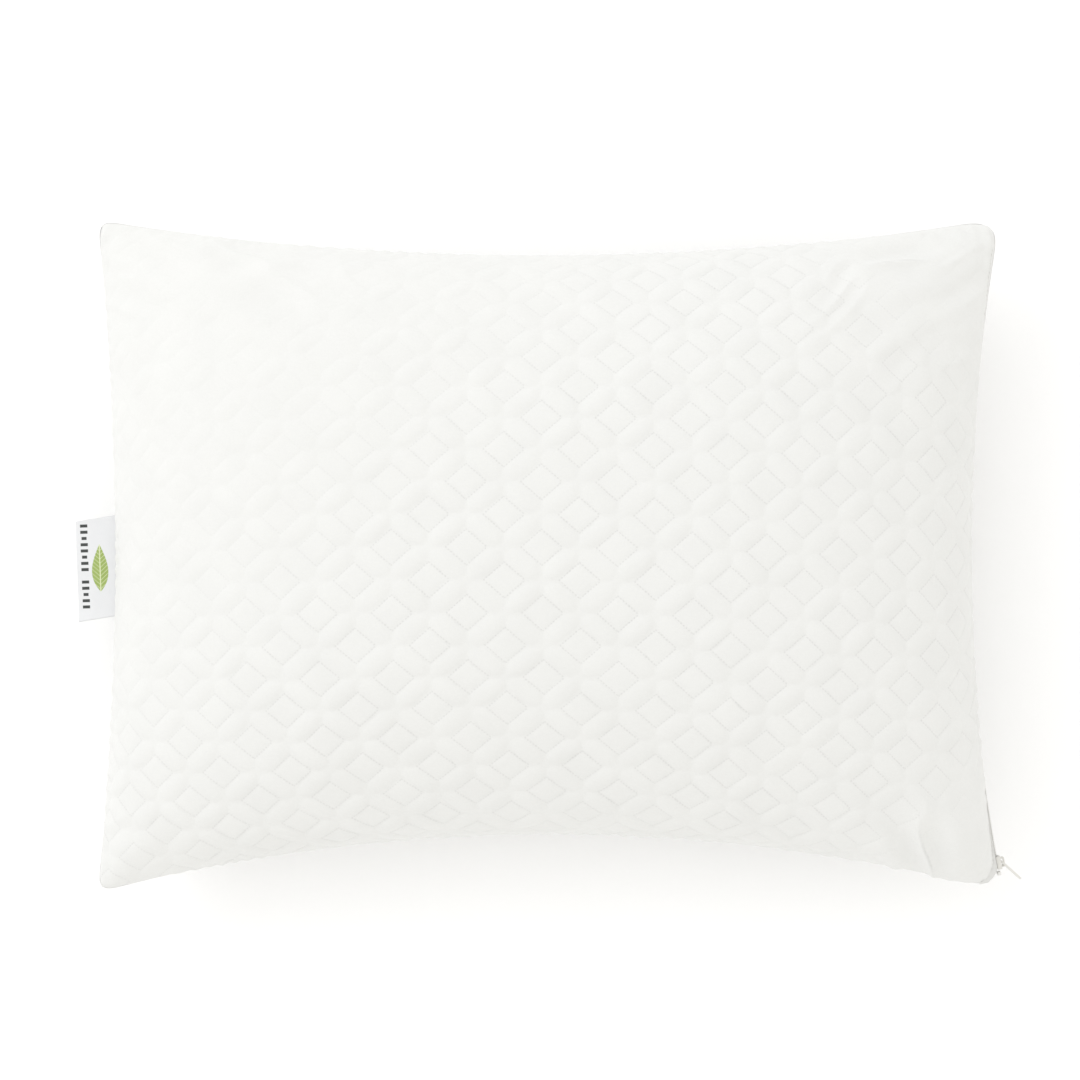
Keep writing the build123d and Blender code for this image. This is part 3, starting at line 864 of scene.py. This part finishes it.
def make_cover_panel(name, grid, cover, counts, upper):
    """Quilts one filled panel and gives it thickness."""
    sewn = (cover.sewn_length, cover.sewn_width)
    fine_counts = tuple(count * COVER_FINE for count in counts)
    skin = refine(grid, COVER_FINE)
    sign = 1.0 if upper else -1.0
    s, t = ((np.linspace(0, 1, count + 1) - 0.5) * side for count, side in zip(fine_counts, sewn))
    u, v = np.meshgrid(s, t, indexing="ij")
    seed = 11 if upper else 61
    relief = quilt_relief(u, v, cover, seed) * seam_fade(fine_counts, sewn, 9 * MM)
    relief += 0.5 * MM * soft_noise(u.shape, sewn, 0.035, seed + 20) * seam_fade(
        fine_counts, sewn, 20 * MM)
    relief += 0.7 * MM * gathers(fine_counts, sewn, seed + 30)
    relief += rolled_edge(fine_counts, sewn)
    for centre, spread, direction, wave, depth, flatten in CRUMPLES:
        mask, folds = crumple(skin, centre, spread, direction, wave, seed + 40, sewn)
        edge = seam_fade(fine_counts, sewn, 14 * MM)
        relief = relief * (1 - flatten * mask) + depth * MM * folds * edge * (1.0 if upper else 0.5)
    normal = surface_normals(skin) * sign
    outer = skin + normal * relief[..., None]
    outer[..., 2] = np.maximum(outer[..., 2], 0.2 * MM)
    opening = LIP_HALF * np.minimum(2 * lip_shape(counts, sewn, 1, 40 * MM), 1)
    inner = inner_skin(grid, sign, cover.thickness, opening)
    obj = shell_mesh(name, outer, inner, np.stack([u, v], -1), not upper)
    return obj, outer, inner


class PILLOW_OT_cover(bpy.types.Operator):
    """Sews, fills and quilts the two panels of the cover"""
    bl_idname = "pillow.cover"
    bl_label = "Cover"

    def execute(self, context):
        cover = context.scene.pillow_cover
        sewn = (cover.sewn_length, cover.sewn_width)
        counts = tuple(2 * round(side / COVER_CELL / 2) for side in sewn)
        rim = rounded_rim(COVER_CORNERS, COVER_BOWS, COVER_ROUNDING, counts)
        upper, lower = inflate("cover bag", rim, sewn, counts, CROWN, COVER_DEPTH, 1,
                               COVER_PRESSURE)
        material = quilted_knit_material(cover)
        thread = thread_material()
        for word, grid, is_upper in (("top", upper, True), ("bottom", lower, False)):
            name = f"quilted_{word}_panel"
            panel, outer, inner = make_cover_panel(name, grid, cover, counts, is_upper)
            finish_piece(panel, material, "root", "quilted_knit", f"cover_{word}_panel")
            INNER_SKINS[word] = inner
            self.topstitch(outer, is_upper, thread, context.scene.pillow_zip)
        return {"FINISHED"}

    def topstitch(self, outer, is_upper, thread, zips):
        """One row of stitches beside the zip."""
        span = node_points("zip_coil_upper")[:, 1]
        curve = outer[-3]
        normals = surface_normals(outer)[-3] * (1 if is_upper else -1)
        near = (curve[:, 1] > span.min()) & (curve[:, 1] < span.max())
        points, faces = stitch_row(curve[near], normals[near], zips.stitch_pitch, 0.45 * MM)
        word = "upper" if is_upper else "lower"
        row = new_mesh_object(f"topstitch_{word}", points, faces)
        finish_piece(row, thread, "root", "quilted_knit")


# ---- zips -----------------------------------------------------------------------------------
class ChainLine:
    """Places (out, along, up) of a zip's own frame, whose 0 is the top of its coil."""

    def __init__(self, coil_node, centre=None):
        points = node_points(coil_node)
        self.centre = centre
        if centre is None:
            self.top = points[:, 0].min()
        else:
            self.top = np.hypot(*(points[:, :2] - np.array(centre[:2])).T).min()
        self.low, self.high = points[:, 1].min(), points[:, 1].max()

    def place(self, out, along, up):
        out, along, up = np.broadcast_arrays(out, along, up)
        if self.centre is None:
            return np.stack([self.top - out, along, SEAM_Z + up], -1)
        radius = self.top - out
        angle = (self.centre[1] - along) / self.top
        return np.stack([self.centre[0] - radius * np.cos(angle),
                         self.centre[1] - radius * np.sin(angle), SEAM_Z + up], -1)


def tube(path, radius, sides):
    """Points and faces of a round wire along a path; radius may vary along it."""
    tangent = np.gradient(path, axis=0)
    tangent /= np.linalg.norm(tangent, axis=1, keepdims=True)
    side = np.cross(tangent, np.array([0.013, 0.9, 0.02]) + 0 * tangent)
    side /= np.maximum(np.linalg.norm(side, axis=1, keepdims=True), 1e-9)
    lift = np.cross(tangent, side)
    turn = np.arange(sides) * math.tau / sides
    ring = side[:, None] * np.cos(turn)[None, :, None] + lift[:, None] * np.sin(turn)[None, :, None]
    radius = np.broadcast_to(radius, len(path))[:, None, None]
    points = (path[:, None] + ring * radius).reshape(-1, 3)
    return points, tube_faces((len(path), sides), True)


def join_parts(parts):
    """One list of points and faces from many."""
    points, faces, first = [], [], 0
    for part_points, part_faces in parts:
        points.append(part_points)
        faces += [[v + first for v in face] for face in part_faces]
        first += len(part_points)
    return np.concatenate(points), faces


def coil_wire(chain, side, wire, pitch, scale):
    """The coil of one tape: a flattened helix of nylon wire with blunt heads."""
    turns = int((chain.high - chain.low - 2 * wire) / pitch)
    segments = 12
    turn = np.arange(turns * segments + 1) / segments
    angle = turn * math.tau
    along = chain.low + wire + turn * pitch + (pitch / 2 if side < 0 else 0)
    flat = np.sign(np.cos(angle)) * np.abs(np.cos(angle)) ** 0.75
    middle, reach = 1.62 * MM * scale, 0.93 * MM * scale
    out = -1.0 * MM * scale + 0.66 * MM * scale * np.sin(angle)
    up = side * (middle - reach * flat)
    return tube(chain.place(out, along, up), wire / 2 * scale * (1 + 0.25 * np.maximum(flat, 0)), 5)


def tape_strip(chain, side, scale, low, high):
    """A woven tape, flat beside the coil and turned in with the seam allowance."""
    along = np.linspace(low, high, 181)
    wave = 0.04 * MM * np.sin(along / (3.1 * MM)) * scale
    tuck = (np.clip(chain.low + 3 * MM - along, 0, None) / MM) ** 2 * 0.09 * MM
    rows = [chain.place(out * MM * scale - tuck + (wave if k in (0, 8) else 0), along,
                        side * up * MM * scale) for k, (out, up) in enumerate(TAPE_SECTION)]
    points = np.stack(rows, 1)
    return points.reshape(-1, 3), tube_faces(points.shape, False)


def stitch_row(curve, normals, pitch, thread):
    """Stitches along a curve on the cloth: each a short bowed thread that dips in at its ends."""
    run = np.append(0, np.cumsum(np.linalg.norm(np.diff(curve, axis=0), axis=1)))
    parts = []
    for first in np.arange(0.5 * pitch, run[-1] - pitch, pitch):
        at = first + np.linspace(0, 0.8 * pitch, 5)
        points = np.stack([np.interp(at, run, curve[:, k]) for k in range(3)], -1)
        normal = np.stack([np.interp(at, run, normals[:, k]) for k in range(3)], -1)
        lift = thread * (0.5 - 1.4 * np.linspace(-1, 1, 5) ** 4)
        parts.append(tube(points + normal * lift[:, None], thread / 2, 5))
    return join_parts(parts)


def finish_piece(obj, material, body, slot, *nodes):
    set_material(obj, material)
    if nodes:
        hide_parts(*nodes)
    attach(obj, body)


def soften(node, name, width, material, body, slot):
    """A moulded copy of a hard CAD piece: its corners rounded by width."""
    source = frame["nodes"][node]
    mesh = source.data.copy()
    mesh.name = name
    obj = bpy.data.objects.new(name, mesh)
    bpy.context.collection.objects.link(obj)
    activate(obj)
    bpy.ops.object.mode_set(mode="EDIT")
    bpy.ops.mesh.select_all(action="SELECT")
    bpy.ops.mesh.remove_doubles(threshold=0.00001)
    bpy.ops.mesh.dissolve_limited(angle_limit=math.radians(4))
    bpy.ops.mesh.normals_make_consistent(inside=False)
    bpy.ops.object.mode_set(mode="OBJECT")
    bevel = obj.modifiers.new("Rounding", "BEVEL")
    bevel.width, bevel.segments, bevel.limit_method = width, 3, "ANGLE"
    bevel.angle_limit = math.radians(32)
    bevel.harden_normals = False
    bpy.ops.object.modifier_apply(modifier=bevel.name)
    mesh = obj.data
    mesh.polygons.foreach_set("use_smooth", np.ones(len(mesh.polygons), bool))
    mesh.set_sharp_from_angle(angle=math.radians(50))
    finish_piece(obj, material, body, slot, node)


class PILLOW_OT_zip(bpy.types.Operator):
    """Makes the cover's zip: tapes, coils, stops, slider and pull"""
    bl_idname = "pillow.zip"
    bl_label = "Zip"

    def execute(self, context):
        zips = context.scene.pillow_zip
        chain = ChainLine("zip_coil_upper", ZIP_AXIS)
        tape_points = node_points("zip_tape_upper")
        build_chain("", chain, 1.0, zips, (tape_points[:, 1].min(), tape_points[:, 1].max()))
        enamel, nylon = enamel_material("slider enamel", zips.enamel), nylon_material()
        pull = enamel_material("pull enamel", zips.enamel)
        soften("zip_top_stops", "moulded_top_stops", 0.3 * MM, nylon, "root", "zip_stop")
        soften("zip_bottom_stop", "moulded_bottom_stop", 0.3 * MM, nylon, "root", "zip_stop")
        soften("zip_slider_body", "cast_slider", 0.25 * MM, enamel, "zip_slider", "slider_enamel")
        soften("zip_lock_cap", "cast_lock_cap", 0.3 * MM, enamel, "zip_slider", "slider_enamel")
        soften("zip_pull_tab", "cast_pull", 0.3 * MM, pull, "zip_pull", "pull_enamel")
        return {"FINISHED"}


def build_chain(prefix, chain, scale, zips, tape_span):
    """Both tapes and both coils of one zip."""
    tape_cloth = woven_material(f"{prefix}zip tape", (0.74, 0.74, 0.72), 1900.0)
    nylon = nylon_material()
    for word, side in (("upper", 1), ("lower", -1)):
        points, faces = coil_wire(chain, side, zips.wire, zips.tooth_pitch * scale, scale)
        finish_piece(new_mesh_object(f"{prefix}wound_coil_{word}", points, faces), nylon,
                     "root", "zip_coil", f"{prefix}zip_coil_{word}")
        points, faces = tape_strip(chain, side, scale, *tape_span)
        tape = new_mesh_object(f"{prefix}woven_tape_{word}", points, faces)
        tape.data.set_sharp_from_angle(angle=math.radians(40))
        finish_piece(tape, tape_cloth, "root", "zip_tape", f"{prefix}zip_tape_{word}")


# ---- labels ---------------------------------------------------------------------------------
def strip_solid(name, line, thickness, rows, bend):
    """A closed strip of cloth: a line of (x, z) swept over rows of y and bent by a function."""
    line = np.array(line)
    tangent = np.gradient(line, axis=0)
    tangent /= np.linalg.norm(tangent, axis=1, keepdims=True)
    normal = np.stack([-tangent[:, 1], tangent[:, 0]], -1)
    sides = [line + normal * thickness / 2, (line - normal * thickness / 2)[::-1]]
    loop = np.concatenate(sides)
    x = np.broadcast_to(loop[:, 0], (len(rows), len(loop)))
    z = np.broadcast_to(loop[:, 1], (len(rows), len(loop)))
    y = np.broadcast_to(rows[:, None], x.shape)
    points = bend(x, y, z)
    count = len(line)
    index = grid_index(points.shape)
    faces = quads_of(np.concatenate([index, index[:, :1]], 1), False).tolist()
    for row, flip in ((index[0], True), (index[-1], False)):
        cap = [[row[k], row[k + 1], row[2 * count - 2 - k], row[2 * count - 1 - k]]
               for k in range(count - 1)]
        faces += [[int(v) for v in (face if flip else face[::-1])] for face in cap]
    return new_mesh_object(name, points.reshape(-1, 3), faces)


def satin_material(name, labels=None):
    """White satin with a fine cross grain and, on the side label, a printed leaf and bars."""
    material, nodes, shader = new_material(name, 0.42)
    place = nodes.place()
    low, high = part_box("side_label")
    middle = tuple(-(a + b) / 2 for a, b in zip(low, high))
    centred = nodes.add("ShaderNodeMapping", {"Vector": place, "Location": middle})
    turned = nodes.add("ShaderNodeMapping", {
        "Vector": centred.outputs["Vector"], "Rotation": (0, 0, math.radians(-LABEL_SKEW))})
    local = turned.outputs["Vector"]
    weave = place_group(nodes, weave_group(), {"Vector": local, "Threads": 4200.0})
    colour = nodes.mix(nodes.noise(local, 90.0, 3.0), (0.70, 0.71, 0.725, 1.0),
                       (0.76, 0.765, 0.775, 1.0))
    if labels:
        leaf, veins, bars = printed_marks(nodes, local)
        green = nodes.mix(veins, rgba(labels.print_leaf), (0.66, 0.72, 0.45, 1.0))
        colour = nodes.mix(leaf, colour, green)
        colour = nodes.mix(bars, colour, rgba(labels.print_dark))
    nodes.put(shader.inputs["Base Color"], colour)
    bump(nodes, shader, weave["Relief"], 0.00004, 0.6)
    shader.inputs["Anisotropic"].default_value = 0.5
    shader.inputs["Sheen Weight"].default_value = 0.1
    return material


def printed_marks(nodes, local):
    """Masks of a single leaf, its veins, and a column of plain bars."""
    split = nodes.add("ShaderNodeSeparateXYZ", {"Vector": local})
    x = nodes.times(split.outputs[0], 1000.0)
    y = nodes.times(split.outputs[1], 1000.0)
    lx = nodes.plus(x, 2.6)
    t = nodes.math("DIVIDE", y, 17.0)
    swell = nodes.invert(nodes.times(t, t))
    lean = nodes.plus(1.0, nodes.times(t, -0.35))
    width = nodes.times(nodes.times(swell, lean), 5.8)
    away = nodes.size(lx)
    leaf = nodes.step(nodes.minus(width, away), 0.0, 0.25)
    midrib = nodes.invert(nodes.step(away, 0.25, 0.5))
    slant = nodes.plus(nodes.times(away, 0.9), nodes.times(y, -1.0))
    beat = nodes.size(nodes.math("SINE", nodes.times(slant, 1.05)))
    side_veins = nodes.invert(nodes.step(beat, 0.12, 0.3))
    veins = nodes.larger(midrib, side_veins)
    cell = nodes.math("DIVIDE", nodes.plus(y, 100.0), 4.4)
    inside = nodes.size(nodes.minus(nodes.math("FRACT", cell), 0.5))
    bar = nodes.invert(nodes.step(inside, 0.22, 0.27))
    number = nodes.math("FLOOR", cell)
    long_bar = nodes.math("GREATER_THAN", nodes.math("MODULO", number, 3.0), 0.5)
    reach = nodes.plus(1.9, nodes.times(long_bar, 0.8))
    off = nodes.size(nodes.plus(x, 13.4))
    column = nodes.step(nodes.minus(reach, off), 0.0, 0.15)
    height = nodes.size(nodes.minus(y, 1.2))
    ends = nodes.invert(nodes.step(height, 30.5, 30.8))
    gap = nodes.invert(nodes.math("COMPARE", number, 21.0, 0.1))
    bars = nodes.times(nodes.times(bar, column), nodes.times(ends, gap))
    return leaf, veins, bars


class PILLOW_OT_labels(bpy.types.Operator):
    """Folds the satin label into the short seam and sews the care label inside"""
    bl_idname = "pillow.labels"
    bl_label = "Labels"

    def execute(self, context):
        labels = context.scene.pillow_label
        self.side_label(labels)
        self.care_label()
        return {"FINISHED"}

    def side_label(self, labels):
        size = LABEL_SIZE
        low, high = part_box("side_label")
        centre = ((Vector(low) + Vector(high)) / 2)
        gap, half = 0.32 * MM, size[0] / 2
        turn = np.linspace(math.pi / 2, 1.5 * math.pi, 9)
        fold = [(-half + gap + gap * math.cos(a), gap * math.sin(a)) for a in turn]
        top = [(x, gap) for x in np.linspace(half, -half + gap, 20)[:-1]]
        line = top + fold + [(x, -z) for x, z in top[::-1]]
        skew = math.radians(LABEL_SKEW)

        def bend(x, y, z):
            out = np.clip((half - x) / size[0], 0, 1)
            hang = -labels.droop * out ** 2 + 0.9 * MM * out * np.sin(y / (15 * MM) + 0.6)
            curl = 1.2 * MM * out * np.clip((np.abs(y) - 26 * MM) / (10 * MM), 0, 1) ** 2
            y = y + LABEL_SLOPE * x
            px, py = (x * math.cos(skew) - y * math.sin(skew),
                      x * math.sin(skew) + y * math.cos(skew))
            return np.stack([centre.x + px, centre.y + py, centre.z + z + hang + curl], -1)

        rows = np.linspace(-size[1] / 2, size[1] / 2, 61)
        label = strip_solid("satin_side_label", line, 0.22 * MM, rows, bend)
        finish_piece(label, satin_material("label satin", labels), "root", "label_satin",
                     "side_label")

    def care_label(self):
        low, high = (Vector(corner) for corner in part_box("care_label"))
        centre, size = (low + high) / 2, high - low
        line = [(t, 0.0) for t in np.linspace(-size.y / 2, size.y / 2, 18)]

        def bend(x, y, z):
            wave = 0.35 * MM * np.sin(y / (4 * MM)) * np.clip((x + size.y / 2) / size.y, 0, 1)
            return np.stack([centre.x - y, centre.y + x, centre.z + z + wave], -1)

        rows = np.linspace(-size.x / 2, size.x / 2, 31)
        label = strip_solid("satin_care_label", line, 0.2 * MM, rows, bend)
        finish_piece(label, satin_material("care satin"), "root", "care_satin", "care_label")


# ---- inner bag and its fill -------------------------------------------------------------------
def grid_tree(*grids):
    """A tree of one or more grids' faces, for finding what lies above a point."""
    points, faces = join_parts([
        (grid.reshape(-1, 3), quads_of(grid_index(grid.shape), False).tolist()) for grid in grids])
    return BVHTree.FromPolygons(points.tolist(), faces)


def keep_inside(grid, tree, sign, gap):
    """Pulls points back toward the seam's height until they clear the surface outside."""
    flat = grid.reshape(-1, 3)
    for point in flat:
        hit = tree.ray_cast(Vector((point[0], point[1], SEAM_Z)), Vector((0, 0, sign)))[0]
        room = abs(hit.z - SEAM_Z) - gap if hit else 0.0
        point[2] = SEAM_Z + sign * max(min(sign * (point[2] - SEAM_Z), room), 0.0)


class PILLOW_OT_liner(bpy.types.Operator):
    """Sews and fills the plain inner bag, with its own zip"""
    bl_idname = "pillow.liner"
    bl_label = "Inner bag"

    def execute(self, context):
        zips = context.scene.pillow_zip
        counts = tuple(2 * round(side / LINER_CELL / 2) for side in LINER_SEWN)
        rim = rounded_rim(LINER_CORNERS, LINER_BOWS, LINER_ROUNDING, counts)
        grids = inflate("inner bag", rim, LINER_SEWN, counts, LINER_CROWN, LINER_DEPTH, -1,
                        LINER_PRESSURE)
        cloth = woven_material("inner bag cloth", (0.80, 0.80, 0.785), 1500.0, sheen=0.2)
        for word, grid, sign in (("top", grids[0], 1.0), ("bottom", grids[1], -1.0)):
            panel = self.make_panel(f"plain_inner_{word}_panel", grid, sign, word)
            finish_piece(panel, cloth, "root", "liner_cloth", f"liner_{word}_panel")
        chain = ChainLine("liner_zip_coil_upper")
        span = node_points("liner_zip_tape_upper")[:, 1]
        build_chain("liner_", chain, 0.8, zips, (span.min(), span.max()))
        enamel, nylon = enamel_material("inner slider enamel", zips.enamel), nylon_material()
        for node, body in (("slider", "liner_slider"), ("lock_cap", "liner_slider"),
                           ("pull", "liner_pull")):
            slot = "pull_enamel" if node == "pull" else "slider_enamel"
            soften(f"liner_zip_{node}", f"cast_inner_{node}", 0.2 * MM, enamel, body, slot)
        soften("liner_zip_stops", "moulded_inner_stops", 0.24 * MM, nylon, "root", "zip_stop")
        return {"FINISHED"}

    def make_panel(self, name, grid, sign, word):
        keep_inside(grid, grid_tree(INNER_SKINS[word]), sign, LINER_GAP)
        counts = tuple(LINER_FINE * (size - 1) for size in grid.shape[:2])
        skin = refine(grid, LINER_FINE)
        seed = 131 if sign > 0 else 171
        lumps = soft_noise(skin.shape[:2], LINER_SEWN, 0.06, seed) * 1.0 * MM
        lumps += soft_noise(skin.shape[:2], LINER_SEWN, 0.022, seed + 1) * 0.5 * MM
        relief = lumps * seam_fade(counts, LINER_SEWN, 25 * MM)
        relief += 0.6 * MM * gathers(counts, LINER_SEWN, seed + 2)
        outer = skin + surface_normals(skin) * sign * relief[..., None]
        inner = inner_skin(grid, sign, LINER_WALL, 0.0)
        s, t = ((np.linspace(0, 1, count + 1)) * side for count, side in zip(counts, LINER_SEWN))
        uv = np.stack(np.meshgrid(s, t, indexing="ij"), -1)
        INNER_SKINS["inner " + word] = inner
        return shell_mesh(name, outer, inner, uv, sign < 0)


class PILLOW_OT_fill(bpy.types.Operator):
    """Fills the inner bag with shreds of foam"""
    bl_idname = "pillow.fill"
    bl_label = "Foam fill"

    def execute(self, context):
        fill = context.scene.pillow_fill
        bpy.ops.mesh.primitive_cube_add(size=1.0)
        block = context.active_object
        activate(block)
        bpy.ops.object.mode_set(mode="EDIT")
        bpy.ops.mesh.select_all(action="SELECT")
        bpy.ops.mesh.subdivide(number_cuts=1, smoothness=0.55)
        bpy.ops.object.mode_set(mode="OBJECT")
        shape = np.array([vertex.co[:] for vertex in block.data.vertices])
        faces = [list(polygon.vertices) for polygon in block.data.polygons]
        bpy.data.objects.remove(block)
        random = np.random.RandomState(fill.seed)
        tree = grid_tree(INNER_SKINS["inner top"], INNER_SKINS["inner bottom"])
        parts, tones = [], []
        for centre in self.places(fill.spacing, random):
            room = tree.find_nearest(Vector(centre))[3] - 1.0 * MM
            size = min(0.60 * fill.spacing, room / 0.95) * random.uniform(0.8, 1.0)
            if size < 5 * MM or not self.is_inside(tree, centre):
                continue
            parts.append((self.shred(shape, size, random) + centre, faces))
            tones += [random.uniform(0, 1)] * len(faces)
        points, faces = join_parts(parts)
        foam = new_mesh_object("shredded_foam_fill", points, faces)
        tone = foam.data.attributes.new("tone", "FLOAT", "FACE")
        tone.data.foreach_set("value", np.array(tones, dtype=np.float32))
        finish_piece(foam, self.material(), "root", "shredded_foam", "foam_fill")
        return {"FINISHED"}

    def places(self, spacing, random):
        """Jittered places in layers through the bag."""
        low, high = (Vector(corner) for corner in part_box("foam_fill"))
        axes = [np.arange(a + spacing / 2, b, spacing) for a, b in zip(low, high)]
        grid = np.stack(np.meshgrid(*axes, indexing="ij"), -1).reshape(-1, 3)
        return grid + random.uniform(-0.16, 0.16, grid.shape) * spacing

    def is_inside(self, tree, centre):
        return all(tree.ray_cast(Vector(centre), Vector((0, 0, way)))[0] for way in (1, -1))

    def shred(self, shape, size, random):
        """One torn piece: uneven, turned at random, within size of its middle."""
        piece = shape * random.uniform(0.6, 1.0, 3) * (1 + random.uniform(-0.22, 0.22, shape.shape))
        turn, _ = np.linalg.qr(random.normal(size=(3, 3)))
        if np.linalg.det(turn) < 0:
            turn[:, 0] *= -1
        piece = piece @ turn
        return piece * size / np.linalg.norm(piece, axis=1).max()

    def material(self):
        material, nodes, shader = new_material("shredded foam", 0.95)
        place = nodes.place()
        tone = nodes.add("ShaderNodeAttribute", attribute_name="tone").outputs["Fac"]
        pores = nodes.add("ShaderNodeTexVoronoi", {"Vector": place, "Scale": 1400.0})
        cell = nodes.step(pores.outputs["Distance"], 0.1, 0.7)
        ground = nodes.mix(tone, (0.80, 0.78, 0.70, 1.0), (0.76, 0.66, 0.46, 1.0))
        dark = nodes.mix(tone, (0.66, 0.64, 0.56, 1.0), (0.60, 0.50, 0.33, 1.0))
        # Painted shade: the pore hollows get the darker colours, the cell walls the lighter ones.
        nodes.put(shader.inputs["Base Color"], nodes.mix(cell, dark, ground))
        bump(nodes, shader, cell, 0.0004, 0.7)
        return material


# ---- stage ----------------------------------------------------------------------------------
def add_area_light(name, place, target, size, power):
    deselect_all()
    bpy.ops.object.light_add(type="AREA", location=place)
    light = bpy.context.active_object
    light.name = name
    light.data.shape = "RECTANGLE"
    light.data.size, light.data.size_y = size
    light.data.energy = power
    aim = Vector(target) - Vector(place)
    light.rotation_euler = aim.to_track_quat("-Z", "Y").to_euler()


def floor_material():
    material, nodes, shader = new_material("studio floor", 0.9)
    nodes.put(shader.inputs["Base Color"], nodes.mix(
        nodes.noise(nodes.place(), 300.0, 2.0), (0.965, 0.965, 0.965, 1.0), (0.98, 0.98, 0.98, 1.0)))
    shader.inputs["Specular IOR Level"].default_value = 0.1
    return material


class PILLOW_OT_stage(bpy.types.Operator):
    """Lays the floor and sets up the lights and the camera"""
    bl_idname = "pillow.stage"
    bl_label = "Stage"

    def execute(self, context):
        scene, stage = context.scene, context.scene.pillow_stage
        scene.view_settings.view_transform = "Standard"
        deselect_all()
        bpy.ops.mesh.primitive_plane_add(size=8.0, location=(0, 0, 0))
        floor = bpy.context.active_object
        floor.name = "studio_floor"
        set_material(floor, floor_material())
        add_area_light("key", KEY_PLACE, KEY_TARGET, KEY_SIZE, stage.key_power)
        world = bpy.data.worlds.new("studio")
        scene.world = world
        world.use_nodes = True
        nodes = NodeTree(world.node_tree)
        split = nodes.add("ShaderNodeSeparateXYZ", {
            "Vector": nodes.add("ShaderNodeTexCoord").outputs["Generated"]})
        far_side = nodes.step(nodes.minus(split.outputs[0], split.outputs[1]), -1.0, 1.0)
        background = world.node_tree.nodes["Background"]
        nodes.put(background.inputs["Color"], nodes.mix(
            far_side, WHITE, (0.985, 0.972, 0.945, 1.0)))
        background.inputs["Strength"].default_value = stage.sky
        deselect_all()
        bpy.ops.object.camera_add(location=(*VIEW_CENTRE, SEAM_Z + stage.camera_height))
        camera = bpy.context.active_object
        camera.data.lens = 85.0
        camera.data.sensor_width = 36.0
        camera.data.clip_start, camera.data.clip_end = 0.05, 30.0
        scene.camera = camera
        return {"FINISHED"}


# ---- panel and registration -----------------------------------------------------------------
class PILLOW_PT_maker(bpy.types.Panel):
    """Lists the pillow's pieces in the sidebar"""
    bl_idname = "PILLOW_PT_maker"
    bl_label = "Bed Pillow"
    bl_space_type = "VIEW_3D"
    bl_region_type = "UI"
    bl_category = "Pillow"

    def draw(self, context):
        layout = self.layout
        for group in GROUPS:
            settings = getattr(context.scene, group)
            box = layout.box()
            for key in settings.__annotations__:
                box.prop(settings, key)
        for operator in OPERATORS:
            layout.operator(operator.bl_idname)


GROUPS = {
    "pillow_cover": PillowCoverProperties,
    "pillow_zip": PillowZipProperties,
    "pillow_label": PillowLabelProperties,
    "pillow_fill": PillowFillProperties,
    "pillow_stage": PillowStageProperties,
}
OPERATORS = (
    PILLOW_OT_stage,
    PILLOW_OT_cover,
    PILLOW_OT_zip,
    PILLOW_OT_labels,
    PILLOW_OT_liner,
    PILLOW_OT_fill,
)


def register():
    for settings in GROUPS.values():
        bpy.utils.register_class(settings)
    for operator in OPERATORS:
        bpy.utils.register_class(operator)
    bpy.utils.register_class(PILLOW_PT_maker)
    for name, settings in GROUPS.items():
        setattr(bpy.types.Scene, name, PointerProperty(type=settings))


def unregister():
    for name in GROUPS:
        delattr(bpy.types.Scene, name)
    bpy.utils.unregister_class(PILLOW_PT_maker)
    for cls in (*OPERATORS[::-1], *GROUPS.values()):
        bpy.utils.unregister_class(cls)


def main():
    register()
    for operator in OPERATORS:
        group, name = operator.bl_idname.split(".")
        getattr(getattr(bpy.ops, group), name)()


if __name__ == "__main__":
    main()
